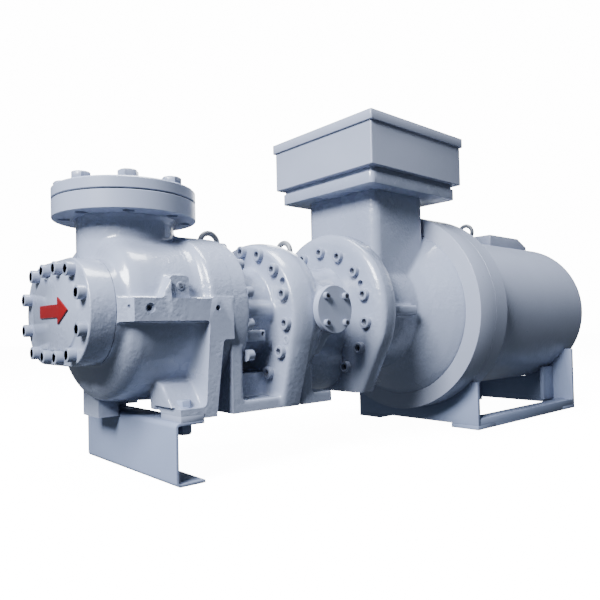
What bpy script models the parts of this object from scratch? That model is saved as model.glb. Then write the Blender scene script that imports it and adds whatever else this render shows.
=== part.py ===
"""Twin-screw compressor with a close-coupled motor, on its support channel and motor base.

Metres, +Z up. +X runs along the shafts from the compressor's front cover to the motor, and -Y is the
side with the machined ledge. The origin is on the floor, under the middle of the support channel.
"""

import math

import bmesh
import bpy
from mathutils import Matrix, Vector

# Shaft lines: the casing is centred on Y 0, and the driven rotor shares the motor's axis.
SHAFT_Z = 0.335
MOTOR_Y = -0.073
MOTOR_AXIS = (MOTOR_Y, SHAFT_Z)
GAP = 0.0003
ROUND = 64
SMALL_ROUND = 24

# Support channel under the casing
CHANNEL_HALF_LENGTH = 0.209
CHANNEL_HALF_WIDTH = 0.032
CHANNEL_HEIGHT = 0.1205
CHANNEL_PLATE = 0.006
CHANNEL_BEND = 0.010
SHIM_TOP = 0.1325

# Rotor casing
CASING_HALF_WIDTH = 0.209
CASING_TOP_RISE = 0.170
BODY_HALF_WIDTH = 0.187
BODY_TOP_RISE = 0.162
BODY_DROP = 0.186
BAND_X = -0.128
BAND_RADIUS = 0.104
BORE_HALF_SPACING = 0.070
SHOULDER_X = -0.117
CASING_FLANGE_X = 0.055
CASING_END_X = 0.107
LEDGE_X = -0.111
LEDGE_BOTTOM = 0.314
LEDGE_TOP = 0.357
LEDGE_END_Y = 0.1735
FOOT_DEPTH = 0.078
FOOT_TOP = 0.145

# Front cover
COVER_FACE_X = -0.178
COVER_PAD_HEIGHT = 0.004
COVER_HEAD_RADIUS = 0.0136
COVER_HEAD_LENGTH = 0.016

# Inlet neck and its flanges
INLET_X = -0.026
NECK_RADIUS = 0.102
INLET_FLANGE_RADIUS = 0.150
INLET_FLANGE_BOTTOM = 0.533
INLET_FLANGE_TOP = 0.5705
GASKET_THICKNESS = 0.0024
BLIND_TOP = 0.597
INLET_BOLT_CIRCLE = 0.125
INLET_BOLTS = 8
INLET_HOLE_RADIUS = 0.013

# Bearing housing, between the casing and the drive-end housing; its round rear flange sits lower
# than the shafts
HOUSING_Z = 0.322
HOUSING_RISE = 0.967
BEARING_FLANGE_END_X = 0.148
BEARING_FACE_X = 0.2345
BEARING_END_X = 0.2847
BEARING_FACE_RADIUS = 0.173
BEARING_OUTER_RADIUS = 0.182
BEARING_NECK_RADIUS = 0.104
HOUSING_FOOT_BOTTOM = 0.1225
HOUSING_FOOT_TOP = 0.147
HOUSING_FOOT_HALF = 0.127
HOUSING_FOOT_DEPTH = 0.075

# Drive-end housing, neck and the flange bolted to the motor
SUMP_Z = 0.207
SUMP_RADIUS = 0.072
DRIVE_FOOT_X = (0.293, 0.331, 0.393)
DRIVE_FACE_X = 0.489
DRIVE_FACE_RADIUS = 0.175
MOTOR_FLANGE_RADIUS = 0.206
MOTOR_SEAM_X = 0.507
MOTOR_FLANGE_END_X = 0.541
MOTOR_FLANGE_BOTTOM = 0.131
PORT_X = 0.3365
PORT_FACE_Y = -0.272
PORT_RADIUS = 0.054
PORT_COVER_THICKNESS = 0.016
PORT_BOSS_RADIUS = 0.043
PORT_BOSS_ROOT = 0.090

# Motor
SHIELD_NECK_RADIUS = 0.160
SHIELD_CONE_X = 0.690
SHIELD_CONE_RADIUS = 0.240
RING_X = 0.791
RING_END_X = 0.930
RING_RADIUS = 0.284
SHELL_RADIUS = 0.236
SHELL_END_X = 1.533
END_COVER_X = 1.550
HATCH_X = (1.222, 1.470)
HATCH_TOP = 0.598
HATCH_HALF_WIDTH = 0.070
LUG_Z = (0.322, 0.348)
LUG_X = (0.560, 0.660)

# Terminal duct and box
DUCT_X = (0.560, 0.775)
DUCT_Y = (-0.200, 0.054)
DUCT_CORNER = 0.026
BOX_X = (0.486, 0.881)
BOX_Y = (-0.261, 0.115)
PLATE_INSET = 0.018
PLATE_Z = (0.650, 0.679)
BOX_BOTTOM = 0.691
LID_BOTTOM = 0.799
LID_TOP = 0.824

# Motor base
BASE_NEAR_Y = -0.293
BASE_FAR_Y = 0.147
BASE_FRONT_X = 0.868
BASE_REAR_X = 1.481
SADDLE_PLATE = 0.012
PAD_HEIGHT = 0.012
PAD_LENGTH = 0.092
PAD_WIDTH = 0.087
RAIL_TOP = 0.030
RAIL_WIDTH = 0.045

ENAMEL = (0.46, 0.49, 0.56, 1.0)
FRAME_ENAMEL = (0.33, 0.37, 0.47, 1.0)
MACHINED = (0.42, 0.45, 0.52, 1.0)
EYEBOLT_STEEL = (0.26, 0.28, 0.31, 1.0)
GASKET_BLACK = (0.05, 0.05, 0.06, 1.0)
ARROW_RED = (0.75, 0.03, 0.03, 1.0)


def clear_scene():
    for old in list(bpy.data.objects):
        bpy.data.objects.remove(old, do_unlink=True)


def paint(name, colour, roughness=0.35, metallic=0.0):
    material = bpy.data.materials.new(name)
    material.use_nodes = True
    shader = material.node_tree.nodes["Principled BSDF"]
    shader.inputs["Base Color"].default_value = colour
    shader.inputs["Roughness"].default_value = roughness
    shader.inputs["Metallic"].default_value = metallic
    return material


def solid(name, bm, material=None):
    """Turn a bmesh into a smooth-shaded object with sharp edges kept."""
    bmesh.ops.recalc_face_normals(bm, faces=bm.faces)
    mesh = bpy.data.meshes.new(name)
    bm.to_mesh(mesh)
    bm.free()
    mesh.shade_smooth()
    mesh.set_sharp_from_angle(angle=math.radians(32))
    piece = bpy.data.objects.new(name, mesh)
    bpy.context.collection.objects.link(piece)
    if material:
        mesh.materials.append(material)
    return piece


def combine(body, tool, operation="UNION"):
    """Join the tool to the body or cut it away; the tool is used up."""
    step = body.modifiers.new("combine", "BOOLEAN")
    step.operation = operation
    step.solver = "EXACT"
    step.object = tool
    graph = bpy.context.evaluated_depsgraph_get()
    mesh = bpy.data.meshes.new_from_object(body.evaluated_get(graph))
    body.modifiers.clear()
    body.data = mesh
    bpy.data.objects.remove(tool, do_unlink=True)
    return body


def combine_all(body, tools, operation="UNION"):
    for tool in tools:
        combine(body, tool, operation)
    return body


def block(name, low, high, material=None):
    bm = bmesh.new()
    bmesh.ops.create_cube(bm, size=1.0)
    size = Vector(high) - Vector(low)
    bmesh.ops.scale(bm, vec=size, verts=bm.verts)
    bmesh.ops.translate(bm, vec=Vector(low) + size / 2, verts=bm.verts)
    return solid(name, bm, material)


AXIS_FRAMES = {
    # Each takes an outline point (u, v) and a height w to (x, y, z).
    "X": lambda u, v, w: Vector((w, u, v)),
    "Y": lambda u, v, w: Vector((u, w, v)),
    "Z": lambda u, v, w: Vector((u, v, w)),
}


def loft(name, axis, sections, material=None):
    """Skin closed outlines of equal length, each at its own height along the axis."""
    place = AXIS_FRAMES[axis]
    bm = bmesh.new()
    rings = []
    for height, outline in sections:
        rings.append([bm.verts.new(place(u, v, height)) for u, v in outline])
    for ring in rings:
        for first, second in zip(ring, ring[1:] + ring[:1]):
            bm.edges.new((first, second))
    for lower, upper in zip(rings, rings[1:]):
        count = len(lower)
        for i in range(count):
            j = (i + 1) % count
            bm.faces.new((lower[i], lower[j], upper[j], upper[i]))
    bm.faces.new(rings[0])
    bm.faces.new(rings[-1])
    return solid(name, bm, material)


def prism(name, axis, outline, start, end, material=None):
    return loft(name, axis, [(start, outline), (end, outline)], material)


def circle(centre, radius, count=ROUND):
    turn = 2 * math.pi / count
    return [
        (centre[0] + radius * math.cos(i * turn), centre[1] + radius * math.sin(i * turn))
        for i in range(count)
    ]


def cylinder(name, axis, centre, radius, start, end, material=None, count=ROUND):
    return prism(name, axis, circle(centre, radius, count), start, end, material)


def turned(name, axis, centre, profile, material=None, count=ROUND):
    """A solid of circles: the profile lists (height, radius) along the axis."""
    sections = [(height, circle(centre, radius, count)) for height, radius in profile]
    return loft(name, axis, sections, material)


def racetrack(half_spacing, radius, centre_z=SHAFT_Z, per_end=24):
    """Two half circles about the rotor bores, joined by straight runs."""
    points = []
    for side, start in ((1, -90), (-1, 90)):
        for i in range(per_end + 1):
            angle = math.radians(start + 180 * i / per_end)
            y = side * half_spacing + radius * math.cos(angle)
            points.append((y, centre_z + radius * math.sin(angle)))
    return points


def casing_outline(half_width, rise, drop, count=ROUND):
    """The casing's section: a flattened arch above the shafts, a round belly below."""
    points = []
    for i in range(count):
        angle = 2 * math.pi * i / count
        across, up = math.cos(angle), math.sin(angle)
        power = 2 / 2.3 if up > 0 else 1.0
        y = half_width * math.copysign(abs(across) ** power, across)
        z = (rise if up > 0 else drop) * math.copysign(abs(up) ** power, up)
        points.append((y, SHAFT_Z + z))
    return points


def footed_outline(centre, radius, half_foot, foot_z, rise=1.0, side_angle=-20, count=48):
    """A circle whose lower part runs down to a flat foot; rise flattens its upper half."""
    points = []
    sweep = 180 - 2 * side_angle
    for i in range(count + 1):
        angle = math.radians(side_angle + sweep * i / count)
        upright = radius * (rise if angle % (2 * math.pi) < math.pi else 1.0)
        points.append((centre[0] + radius * math.cos(angle), centre[1] + upright * math.sin(angle)))
    points.append((centre[0] - half_foot, foot_z))
    points.append((centre[0] + half_foot, foot_z))
    return points


def rounded_rectangle(low, high, corner, per_corner=6):
    points = []
    centres = (
        (high[0] - corner, high[1] - corner),
        (low[0] + corner, high[1] - corner),
        (low[0] + corner, low[1] + corner),
        (high[0] - corner, low[1] + corner),
    )
    for quarter, (u, v) in enumerate(centres):
        for i in range(per_corner + 1):
            angle = math.pi / 2 * (quarter + i / per_corner)
            points.append((u + corner * math.cos(angle), v + corner * math.sin(angle)))
    return points


def support_channel(material):
    """Bent plate: the web stands at the front, both legs point to the motor."""
    width, top, plate = CHANNEL_HALF_WIDTH, CHANNEL_HEIGHT, CHANNEL_PLATE
    bend = CHANNEL_BEND
    outer, inner = [], []
    steps = 5
    for corner_z, sign in ((bend, -1), (top - bend, 1)):
        for i in range(steps + 1):
            angle = math.radians(90 * i / steps)
            if sign > 0:
                angle = math.pi / 2 - angle
            across, up = math.sin(angle), math.cos(angle)
            outer.append((-width + bend - bend * across, corner_z + sign * bend * up))
            curve = bend - plate
            inner.append((-width + bend - curve * across, corner_z + sign * curve * up))
    outline = [(width, 0.0)] + outer + [(width, top), (width, top - plate)]
    outline += inner[::-1] + [(width, plate)]
    half = CHANNEL_HALF_LENGTH
    return prism("support_channel", "Y", outline, -half, half, material)


def foot_shim(name, side, material):
    inner, outer = CASING_HALF_WIDTH - FOOT_DEPTH, CASING_HALF_WIDTH
    low_y, high_y = sorted((side * inner, side * outer))
    low = (-0.020, low_y, CHANNEL_HEIGHT + GAP)
    high = (0.032, high_y, SHIM_TOP)
    return block(name, low, high, material)


def casing_body():
    """The belly swells from the front band and steps up to the rear flange."""
    shapes = (
        (SHOULDER_X - 0.010, 0.150, 0.100, 0.100),
        (SHOULDER_X, 0.158, 0.112, 0.142),
        (SHOULDER_X + 0.006, 0.168, 0.138, 0.160),
        (SHOULDER_X + 0.017, 0.178, 0.153, 0.174),
        (SHOULDER_X + 0.037, BODY_HALF_WIDTH - 0.002, BODY_TOP_RISE - 0.001, BODY_DROP - 0.003),
        (SHOULDER_X + 0.060, BODY_HALF_WIDTH, BODY_TOP_RISE, BODY_DROP),
        (CASING_FLANGE_X - 0.022, BODY_HALF_WIDTH, BODY_TOP_RISE, BODY_DROP + 0.004),
        (CASING_FLANGE_X - 0.007, 0.193, 0.165, 0.197),
        (CASING_FLANGE_X, CASING_HALF_WIDTH, CASING_TOP_RISE, CASING_HALF_WIDTH),
        (CASING_END_X, CASING_HALF_WIDTH, CASING_TOP_RISE, CASING_HALF_WIDTH),
    )
    sections = [(x, casing_outline(wide, rise, drop)) for x, wide, rise, drop in shapes]
    return loft("rotor_casing", "X", sections)


def side_frame(side):
    """Machined ledge, the column under it and the foot, on one side of the casing."""
    outline = [
        (LEDGE_X, LEDGE_TOP),
        (LEDGE_X, LEDGE_BOTTOM),
        (0.050, LEDGE_BOTTOM),
        (0.038, 0.150),
        (0.034, FOOT_TOP),
        (-0.020, FOOT_TOP),
        (-0.020, SHIM_TOP + GAP),
        (0.0345, SHIM_TOP + GAP),
        (0.0345, 0.124),
        (0.061, 0.124),
        (0.081, 0.276),
        (CASING_END_X - 0.001, 0.276),
        (CASING_END_X - 0.001, LEDGE_TOP),
    ]
    near = side * CASING_HALF_WIDTH
    inner = side * (CASING_HALF_WIDTH - FOOT_DEPTH)
    return prism("side_frame", "Y", outline, near, inner)


def foot_web(side):
    """Sloping web between the foot and the belly."""
    outline = [(0.196, 0.140), (0.150, 0.188), (0.120, 0.196), (0.100, 0.215), (0.100, 0.140)]
    outline = [(side * y, z) for y, z in outline]
    return prism("foot_web", "X", outline, -0.019, 0.045)


def ledge_end(side):
    """Corner of the ledge, chamfered in plan to meet the band beside the front cover."""
    outline = [
        (BAND_X + GAP, LEDGE_END_Y), (-0.1135, 0.186), (LEDGE_X, 0.196), (LEDGE_X + 0.010, 0.196),
        (LEDGE_X + 0.010, 0.150), (BAND_X + GAP, 0.150),
    ]
    outline = [(x, side * y) for x, y in outline]
    return prism("ledge_end", "Z", outline, LEDGE_BOTTOM + 0.001, LEDGE_TOP - 0.001)


def belly_block():
    """Cast block that hangs from the belly, just in front of the channel's web."""
    return block("belly_block", (-0.080, 0.030, CHANNEL_HEIGHT), (-0.035, 0.113, 0.215))


def sensor_boss():
    outline = [(-0.062, 0.350), (-0.031, 0.401), (0.008, 0.401), (0.008, 0.350)]
    return prism("sensor_boss", "Y", outline, -0.200, -0.120)


def rotor_casing(material):
    casing = casing_body()
    joins = [prism("band", "X", racetrack(BORE_HALF_SPACING, BAND_RADIUS), BAND_X + GAP, -0.080)]
    for side in (-1, 1):
        joins += [side_frame(side), ledge_end(side), foot_web(side)]
    joins += [sensor_boss(), belly_block()]
    neck = [(0.420, NECK_RADIUS), (0.525, NECK_RADIUS), (0.5329, NECK_RADIUS + 0.006)]
    joins.append(turned("neck", "Z", (INLET_X, 0.0), neck, count=48))
    joins.append(
        cylinder(
            "inlet_flange", "Z", (INLET_X, 0.0), INLET_FLANGE_RADIUS,
            INLET_FLANGE_BOTTOM - 0.0005, INLET_FLANGE_TOP,
        )
    )
    combine_all(casing, joins)
    holes = []
    for i in range(INLET_BOLTS):
        angle = 2 * math.pi * (i + 0.5) / INLET_BOLTS
        x = INLET_X + INLET_BOLT_CIRCLE * math.cos(angle)
        y = INLET_BOLT_CIRCLE * math.sin(angle)
        holes.append(
            cylinder("hole", "Z", (x, y), INLET_HOLE_RADIUS, 0.500, INLET_FLANGE_BOTTOM + 0.020, count=16)
        )
    holes.append(cylinder("port", "Y", (-0.079, 0.338), 0.009, -0.230, -0.190, count=16))
    holes.append(cylinder("port", "Y", (0.069, 0.339), 0.007, -0.230, -0.190, count=16))
    holes.append(cylinder("port", "Y", (-0.011, 0.381), 0.006, -0.230, -0.188, count=16))
    combine_all(casing, holes, "DIFFERENCE")
    casing.name = "rotor_casing"
    casing.data.materials.clear()
    casing.data.materials.append(material)
    return casing


def cover_screw_places():
    """Twelve screws on the cover's rim: four along each long side, two round each end."""
    places = []
    for y_sign in (-1, 1):
        for z_sign in (-1, 1):
            places.append((y_sign * 0.034, SHAFT_Z + z_sign * 0.0865))
            places.append((y_sign * 0.098, SHAFT_Z + z_sign * 0.080))
            places.append((y_sign * 0.149, SHAFT_Z + z_sign * 0.033))
    return places


def front_cover(material):
    """Oblong cover with a low pad inside its ring of socket screws."""
    rim = racetrack(BORE_HALF_SPACING, BAND_RADIUS)
    rim_edge = racetrack(BORE_HALF_SPACING, BAND_RADIUS - 0.004)
    sections = [(COVER_FACE_X, rim_edge), (COVER_FACE_X + 0.004, rim), (BAND_X, rim)]
    cover = loft("front_cover", "X", sections, material)
    pad_foot = racetrack(0.050, 0.074)
    pad_top = racetrack(0.050, 0.068)
    pad = loft("pad", "X", [(COVER_FACE_X - COVER_PAD_HEIGHT, pad_top), (COVER_FACE_X + 0.002, pad_foot)])
    heads = [
        cylinder(
            "head", "X", place, COVER_HEAD_RADIUS, COVER_FACE_X - COVER_HEAD_LENGTH,
            COVER_FACE_X + 0.001, count=12,
        )
        for place in cover_screw_places()
    ]
    return combine_all(cover, [pad] + heads)


def cover_plaque(material):
    """Plain red arrow plate that shows the direction of flow."""
    x = COVER_FACE_X - COVER_PAD_HEIGHT - GAP
    tail, head, tip = 0.070, -0.030, -0.082
    z = SHAFT_Z + 0.004
    outline = [
        (tail, z - 0.013), (head, z - 0.013), (head, z - 0.027), (tip, z),
        (head, z + 0.027), (head, z + 0.013), (tail, z + 0.013),
    ]
    return prism("flow_arrow_plate", "X", outline, x - 0.003, x, material)


def blind_flange(material):
    profile = [
        (INLET_FLANGE_TOP + 2 * GAP + GASKET_THICKNESS, INLET_FLANGE_RADIUS),
        (BLIND_TOP - 0.002, INLET_FLANGE_RADIUS),
        (BLIND_TOP, INLET_FLANGE_RADIUS - 0.002),
    ]
    return turned("inlet_blind_flange", "Z", (INLET_X, 0.0), profile, material)


def inlet_gasket(material):
    start = INLET_FLANGE_TOP + GAP
    return cylinder(
        "inlet_gasket", "Z", (INLET_X, 0.0), INLET_FLANGE_RADIUS - 0.004,
        start, start + GASKET_THICKNESS, material,
    )


def bearing_housing(material):
    """Front flange for both rotors, a necked middle and a round rear flange, on two feet."""
    front = casing_outline(CASING_HALF_WIDTH, CASING_TOP_RISE, CASING_HALF_WIDTH)
    start = CASING_END_X + GAP
    body = prism("bearing_housing", "X", front, start, BEARING_FLANGE_END_X)
    joins = [
        cylinder("neck", "X", MOTOR_AXIS, BEARING_NECK_RADIUS, start + 0.010, 0.260),
        cylinder("second_bearing", "X", (-MOTOR_Y, SHAFT_Z), 0.092, start + 0.012, 0.196, count=48),
        cylinder("oil_gallery", "X", (-0.163, 0.334), 0.025, start + 0.014, 0.260, count=SMALL_ROUND),
        block("drain_block", (0.130, -0.190, 0.268), (0.205, -0.120, 0.294)),
        cylinder("eye_boss", "Z", (0.186, 0.0), 0.026, 0.340, 0.466, count=SMALL_ROUND),
    ]
    face = BEARING_FACE_X
    shapes = (
        (face, BEARING_FACE_RADIUS, HOUSING_FOOT_HALF - 0.004),
        (face + 0.006, BEARING_FACE_RADIUS + 0.003, HOUSING_FOOT_HALF),
        (face + 0.016, BEARING_OUTER_RADIUS - 0.003, HOUSING_FOOT_HALF),
        (face + 0.034, BEARING_OUTER_RADIUS, HOUSING_FOOT_HALF),
        (BEARING_END_X, BEARING_OUTER_RADIUS, HOUSING_FOOT_HALF),
    )
    sections = [
        (x, footed_outline((MOTOR_Y, HOUSING_Z), radius, half, HOUSING_FOOT_BOTTOM, HOUSING_RISE))
        for x, radius, half in shapes
    ]
    joins.append(loft("rear_flange", "X", sections))
    column_end = 0.134
    near = MOTOR_Y - HOUSING_FOOT_HALF
    far = MOTOR_Y + HOUSING_FOOT_HALF
    for low_y, high_y in ((near, near + HOUSING_FOOT_DEPTH), (far - HOUSING_FOOT_DEPTH, far)):
        joins.append(block("column", (start, low_y, HOUSING_FOOT_BOTTOM), (column_end, high_y, 0.260)))
        joins.append(
            block("foot", (start + 0.001, low_y + 0.0005, HOUSING_FOOT_BOTTOM + 0.0005),
                  (face + 0.020, high_y - 0.0005, HOUSING_FOOT_TOP))
        )
    joins.append(
        block("pan", (0.120, near + 0.045, HOUSING_FOOT_BOTTOM + 0.012), (0.255, far - 0.045, 0.200))
    )
    combine_all(body, joins)
    body.name = "bearing_housing"
    body.data.materials.clear()
    body.data.materials.append(material)
    return body


def second_bearing_cap(material):
    """Round cap over the bearing of the rotor that isn't driven."""
    profile = [(0.1963, 0.041), (0.212, 0.041), (0.215, 0.038)]
    return turned("second_bearing_cap", "X", (-MOTOR_Y, SHAFT_Z), profile, material, count=48)


def rim_outline(half_width, rise, count=ROUND):
    """Upright oval about the drive housing's own centre; its lower half is round."""
    points = []
    for y, z in circle((0.0, 0.0), half_width, count):
        points.append((MOTOR_Y + y, HOUSING_Z + z * (rise / half_width if z > 0 else 1.0)))
    return points


def neck_outline(grow=0.0, count=48):
    """Upright oblong section of the neck between the housing and the motor flange."""
    points = []
    for i in range(count):
        angle = 2 * math.pi * i / count
        across, up = math.cos(angle), math.sin(angle)
        power = 2 / 2.3
        y = (0.082 + grow) * math.copysign(abs(across) ** power, across)
        z = ((0.112 if up > 0 else 0.136) + grow) * math.copysign(abs(up) ** power, up)
        points.append((MOTOR_Y + y, SHAFT_Z + z))
    return points


def drive_end_housing(material):
    """Footed housing, oblong neck, side port boss and the flange that the motor bolts to."""
    start = BEARING_END_X + GAP
    rims = (
        (start, BEARING_OUTER_RADIUS, BEARING_OUTER_RADIUS * HOUSING_RISE), (0.300, 0.179, 0.1745),
        (0.318, 0.170, 0.1705), (0.332, 0.160, 0.1685), (0.340, 0.152, 0.167),
    )
    body = loft("drive_end_housing", "X", [(x, rim_outline(wide, rise)) for x, wide, rise in rims])
    neck = loft("neck", "X", [(0.320, neck_outline()), (0.472, neck_outline()), (0.492, neck_outline(0.008))])
    face = DRIVE_FACE_X
    rise = MOTOR_FLANGE_RADIUS - DRIVE_FACE_RADIUS
    shapes = []
    for step in range(6):
        angle = math.pi / 2 * step / 5
        x = face + (MOTOR_SEAM_X - face) * (1 - math.cos(angle))
        radius = DRIVE_FACE_RADIUS + rise * math.sin(angle)
        shapes.append((x, footed_outline(MOTOR_AXIS, radius, radius * 0.6, MOTOR_FLANGE_BOTTOM)))
    flange = loft("flange", "X", shapes)
    sump = cylinder("sump", "X", (MOTOR_Y, SUMP_Z), SUMP_RADIUS, 0.322, face + 0.005)
    seat = PORT_FACE_Y + PORT_COVER_THICKNESS + GAP
    profile = [(seat, PORT_BOSS_RADIUS), (seat + 0.012, PORT_BOSS_RADIUS), (-0.150, PORT_BOSS_ROOT)]
    boss = turned("port_boss", "Y", (PORT_X, SHAFT_Z), profile, count=48)
    combine(boss, block("under_boss", (0.2, -0.3, 0.2), (0.5, -0.1, SHAFT_Z)), "DIFFERENCE")
    combine(boss, block("before_boss", (0.2, -0.3, 0.2), (0.300, -0.1, 0.5)), "DIFFERENCE")
    pipe_radius = PORT_BOSS_RADIUS - 0.0005
    pipe = cylinder("port_pipe", "Y", (PORT_X, SHAFT_Z), pipe_radius, seat + 0.0005, -0.110, count=48)
    gusset = prism(
        "gusset", "Y", [(0.305, 0.305), (0.378, 0.305), (0.374, 0.285), (0.330, 0.236), (0.305, 0.236)],
        -0.226, -0.140,
    )
    joins = [neck, flange, sump, boss, pipe, gusset]
    foot_start, column_end, foot_end = DRIVE_FOOT_X
    near = MOTOR_Y - HOUSING_FOOT_HALF
    far = MOTOR_Y + HOUSING_FOOT_HALF
    for low_y, high_y in ((near, near + HOUSING_FOOT_DEPTH), (far - HOUSING_FOOT_DEPTH, far)):
        joins.append(
            block("column", (foot_start, low_y, HOUSING_FOOT_BOTTOM), (column_end, high_y, 0.270))
        )
        joins.append(
            block("foot", (foot_start + 0.001, low_y + 0.0005, HOUSING_FOOT_BOTTOM + 0.0005),
                  (foot_end, high_y - 0.0005, HOUSING_FOOT_TOP))
        )
    combine_all(body, joins)
    body.name = "drive_end_housing"
    body.data.materials.clear()
    body.data.materials.append(material)
    return body


def side_port_cover(material):
    back = PORT_FACE_Y + PORT_COVER_THICKNESS
    profile = [(PORT_FACE_Y, PORT_RADIUS - 0.001), (PORT_FACE_Y + 0.001, PORT_RADIUS), (back, PORT_RADIUS)]
    return turned("side_port_cover", "Y", (PORT_X, SHAFT_Z), profile, material, count=48)


def motor_end_shield(material):
    """Bolted flange with a flat foot, a waisted neck and the cone out to the motor ring."""
    start = MOTOR_SEAM_X + GAP
    half = MOTOR_FLANGE_RADIUS * 0.6
    outline = footed_outline(MOTOR_AXIS, MOTOR_FLANGE_RADIUS, half, MOTOR_FLANGE_BOTTOM)
    body = prism("motor_end_shield", "X", outline, start, MOTOR_FLANGE_END_X)
    cone = [
        (0.520, 0.190), (MOTOR_FLANGE_END_X, 0.190), (0.552, 0.172), (0.575, SHIELD_NECK_RADIUS),
        (SHIELD_CONE_X, SHIELD_NECK_RADIUS), (0.720, 0.180), (0.768, 0.224),
        (RING_X - GAP, SHIELD_CONE_RADIUS),
    ]
    joins = [turned("cone", "X", MOTOR_AXIS, cone)]
    for side in (-1, 1):
        reach = MOTOR_Y + side * 0.182
        low_y, high_y = sorted((MOTOR_Y + side * 0.100, reach))
        joins.append(block("lug", (LUG_X[0] - 0.030, low_y, LUG_Z[0]), (LUG_X[1], high_y, LUG_Z[1])))
    combine_all(body, joins)
    body.name = "motor_end_shield"
    body.data.materials.clear()
    body.data.materials.append(material)
    return body


def motor_ring(material):
    """Stout ring at the front of the motor frame."""
    profile = [
        (RING_X, RING_RADIUS - 0.0015), (RING_X + 0.0015, RING_RADIUS), (RING_END_X - 0.004, RING_RADIUS),
        (RING_END_X, RING_RADIUS - 0.004),
    ]
    return turned("motor_ring", "X", MOTOR_AXIS, profile, material)


def motor_shell(material):
    profile = [(RING_END_X + GAP, SHELL_RADIUS), (SHELL_END_X - 0.003, SHELL_RADIUS)]
    profile += [(SHELL_END_X, SHELL_RADIUS - 0.003)]
    return turned("motor_shell", "X", MOTOR_AXIS, profile, material)


def motor_rear_cover(material):
    profile = [(SHELL_END_X + GAP, 0.222), (END_COVER_X - 0.005, 0.222), (END_COVER_X, 0.214)]
    return turned("motor_rear_cover", "X", MOTOR_AXIS, profile, material)


def shell_top_housing(material):
    """Flat-topped housing along the top of the motor shell."""
    front, rear = HATCH_X
    outline = [(front, 0.540), (front, HATCH_TOP), (rear - 0.060, HATCH_TOP), (rear, 0.572), (rear, 0.540)]
    half = HATCH_HALF_WIDTH
    housing = prism("shell_top_housing", "Y", outline, MOTOR_Y - half, MOTOR_Y + half, material)
    shell = cylinder("shell", "X", MOTOR_AXIS, SHELL_RADIUS + GAP, front - 0.1, rear + 0.1)
    return combine(housing, shell, "DIFFERENCE")


def terminal_duct(material):
    """Rounded duct from the end shield up to the terminal box."""
    low, high = (DUCT_X[0], DUCT_Y[0]), (DUCT_X[1], DUCT_Y[1])
    outline = rounded_rectangle(low, high, DUCT_CORNER)
    duct = prism("terminal_duct", "Z", outline, 0.400, PLATE_Z[0] - GAP, material)
    cone = [
        (0.40, 0.190 + GAP), (MOTOR_FLANGE_END_X, 0.190 + GAP), (0.552, 0.172 + GAP),
        (0.575, SHIELD_NECK_RADIUS + GAP), (SHIELD_CONE_X, SHIELD_NECK_RADIUS + GAP),
        (0.720, 0.180 + GAP), (0.768, 0.224 + GAP), (RING_X, SHIELD_CONE_RADIUS + 2 * GAP),
    ]
    return combine(duct, turned("cone", "X", MOTOR_AXIS, cone), "DIFFERENCE")


def terminal_base_plate(material):
    """Base plate of the box, with a bolt boss standing out of each side."""
    inset = PLATE_INSET
    low = (BOX_X[0] + inset, BOX_Y[0] + inset, PLATE_Z[0])
    high = (BOX_X[1] - inset, BOX_Y[1] - inset, PLATE_Z[1])
    plate = block("terminal_base_plate", low, high, material)
    middle_x = (BOX_X[0] + BOX_X[1]) / 2
    middle_y = (BOX_Y[0] + BOX_Y[1]) / 2
    return combine_all(plate, [
        prism("boss", "Z", rounded_rectangle((middle_x - 0.06, BOX_Y[0] + 0.004),
                                             (middle_x + 0.06, BOX_Y[1] - 0.004), 0.015),
              PLATE_Z[0] + 0.0005, PLATE_Z[1] - 0.005),
        prism("boss", "Z", rounded_rectangle((BOX_X[0] + 0.004, middle_y - 0.06),
                                             (BOX_X[1] - 0.004, middle_y + 0.06), 0.015),
              PLATE_Z[0] + 0.0008, PLATE_Z[1] - 0.006),
    ])


def box_outline(inset, corner):
    low = (BOX_X[0] + inset, BOX_Y[0] + inset)
    high = (BOX_X[1] - inset, BOX_Y[1] - inset)
    return rounded_rectangle(low, high, corner)


def terminal_box(material):
    inset = 0.006
    foot = box_outline(0.024, 0.006)
    wall = box_outline(inset, 0.003)
    sections = [
        (PLATE_Z[1] + GAP, foot), (BOX_BOTTOM, foot), (BOX_BOTTOM + 0.0002, wall), (LID_BOTTOM - GAP, wall),
    ]
    return loft("terminal_box", "Z", sections, material)


def terminal_lid(material):
    outline = rounded_rectangle((BOX_X[0], BOX_Y[0]), (BOX_X[1], BOX_Y[1]), 0.004)
    return prism("terminal_lid", "Z", outline, LID_BOTTOM, LID_TOP, material)


def saddle(name, start, radius, shoulder_z, material):
    """Upright cross plate of the motor base, hollowed to carry the round frame."""
    low, high = BASE_NEAR_Y, BASE_FAR_Y
    outline = [(low, PAD_HEIGHT + GAP), (high, PAD_HEIGHT + GAP), (high, shoulder_z)]
    reach = math.sqrt(radius ** 2 - (SHAFT_Z - shoulder_z) ** 2)
    half_turn = math.asin(reach / radius)
    steps = 28
    for i in range(steps + 1):
        angle = half_turn * (1 - 2 * i / steps)
        outline.append((MOTOR_Y + radius * math.sin(angle), SHAFT_Z - radius * math.cos(angle)))
    outline.append((low, shoulder_z))
    return prism(name, "X", outline, start, start + SADDLE_PLATE, material)


def base_pad(name, x, side, material):
    low_y, high_y = BASE_NEAR_Y, BASE_NEAR_Y + PAD_WIDTH
    if side > 0:
        low_y, high_y = BASE_FAR_Y - PAD_WIDTH, BASE_FAR_Y
    return block(name, (x, low_y, 0.0), (x + PAD_LENGTH, high_y, PAD_HEIGHT), material)


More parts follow.
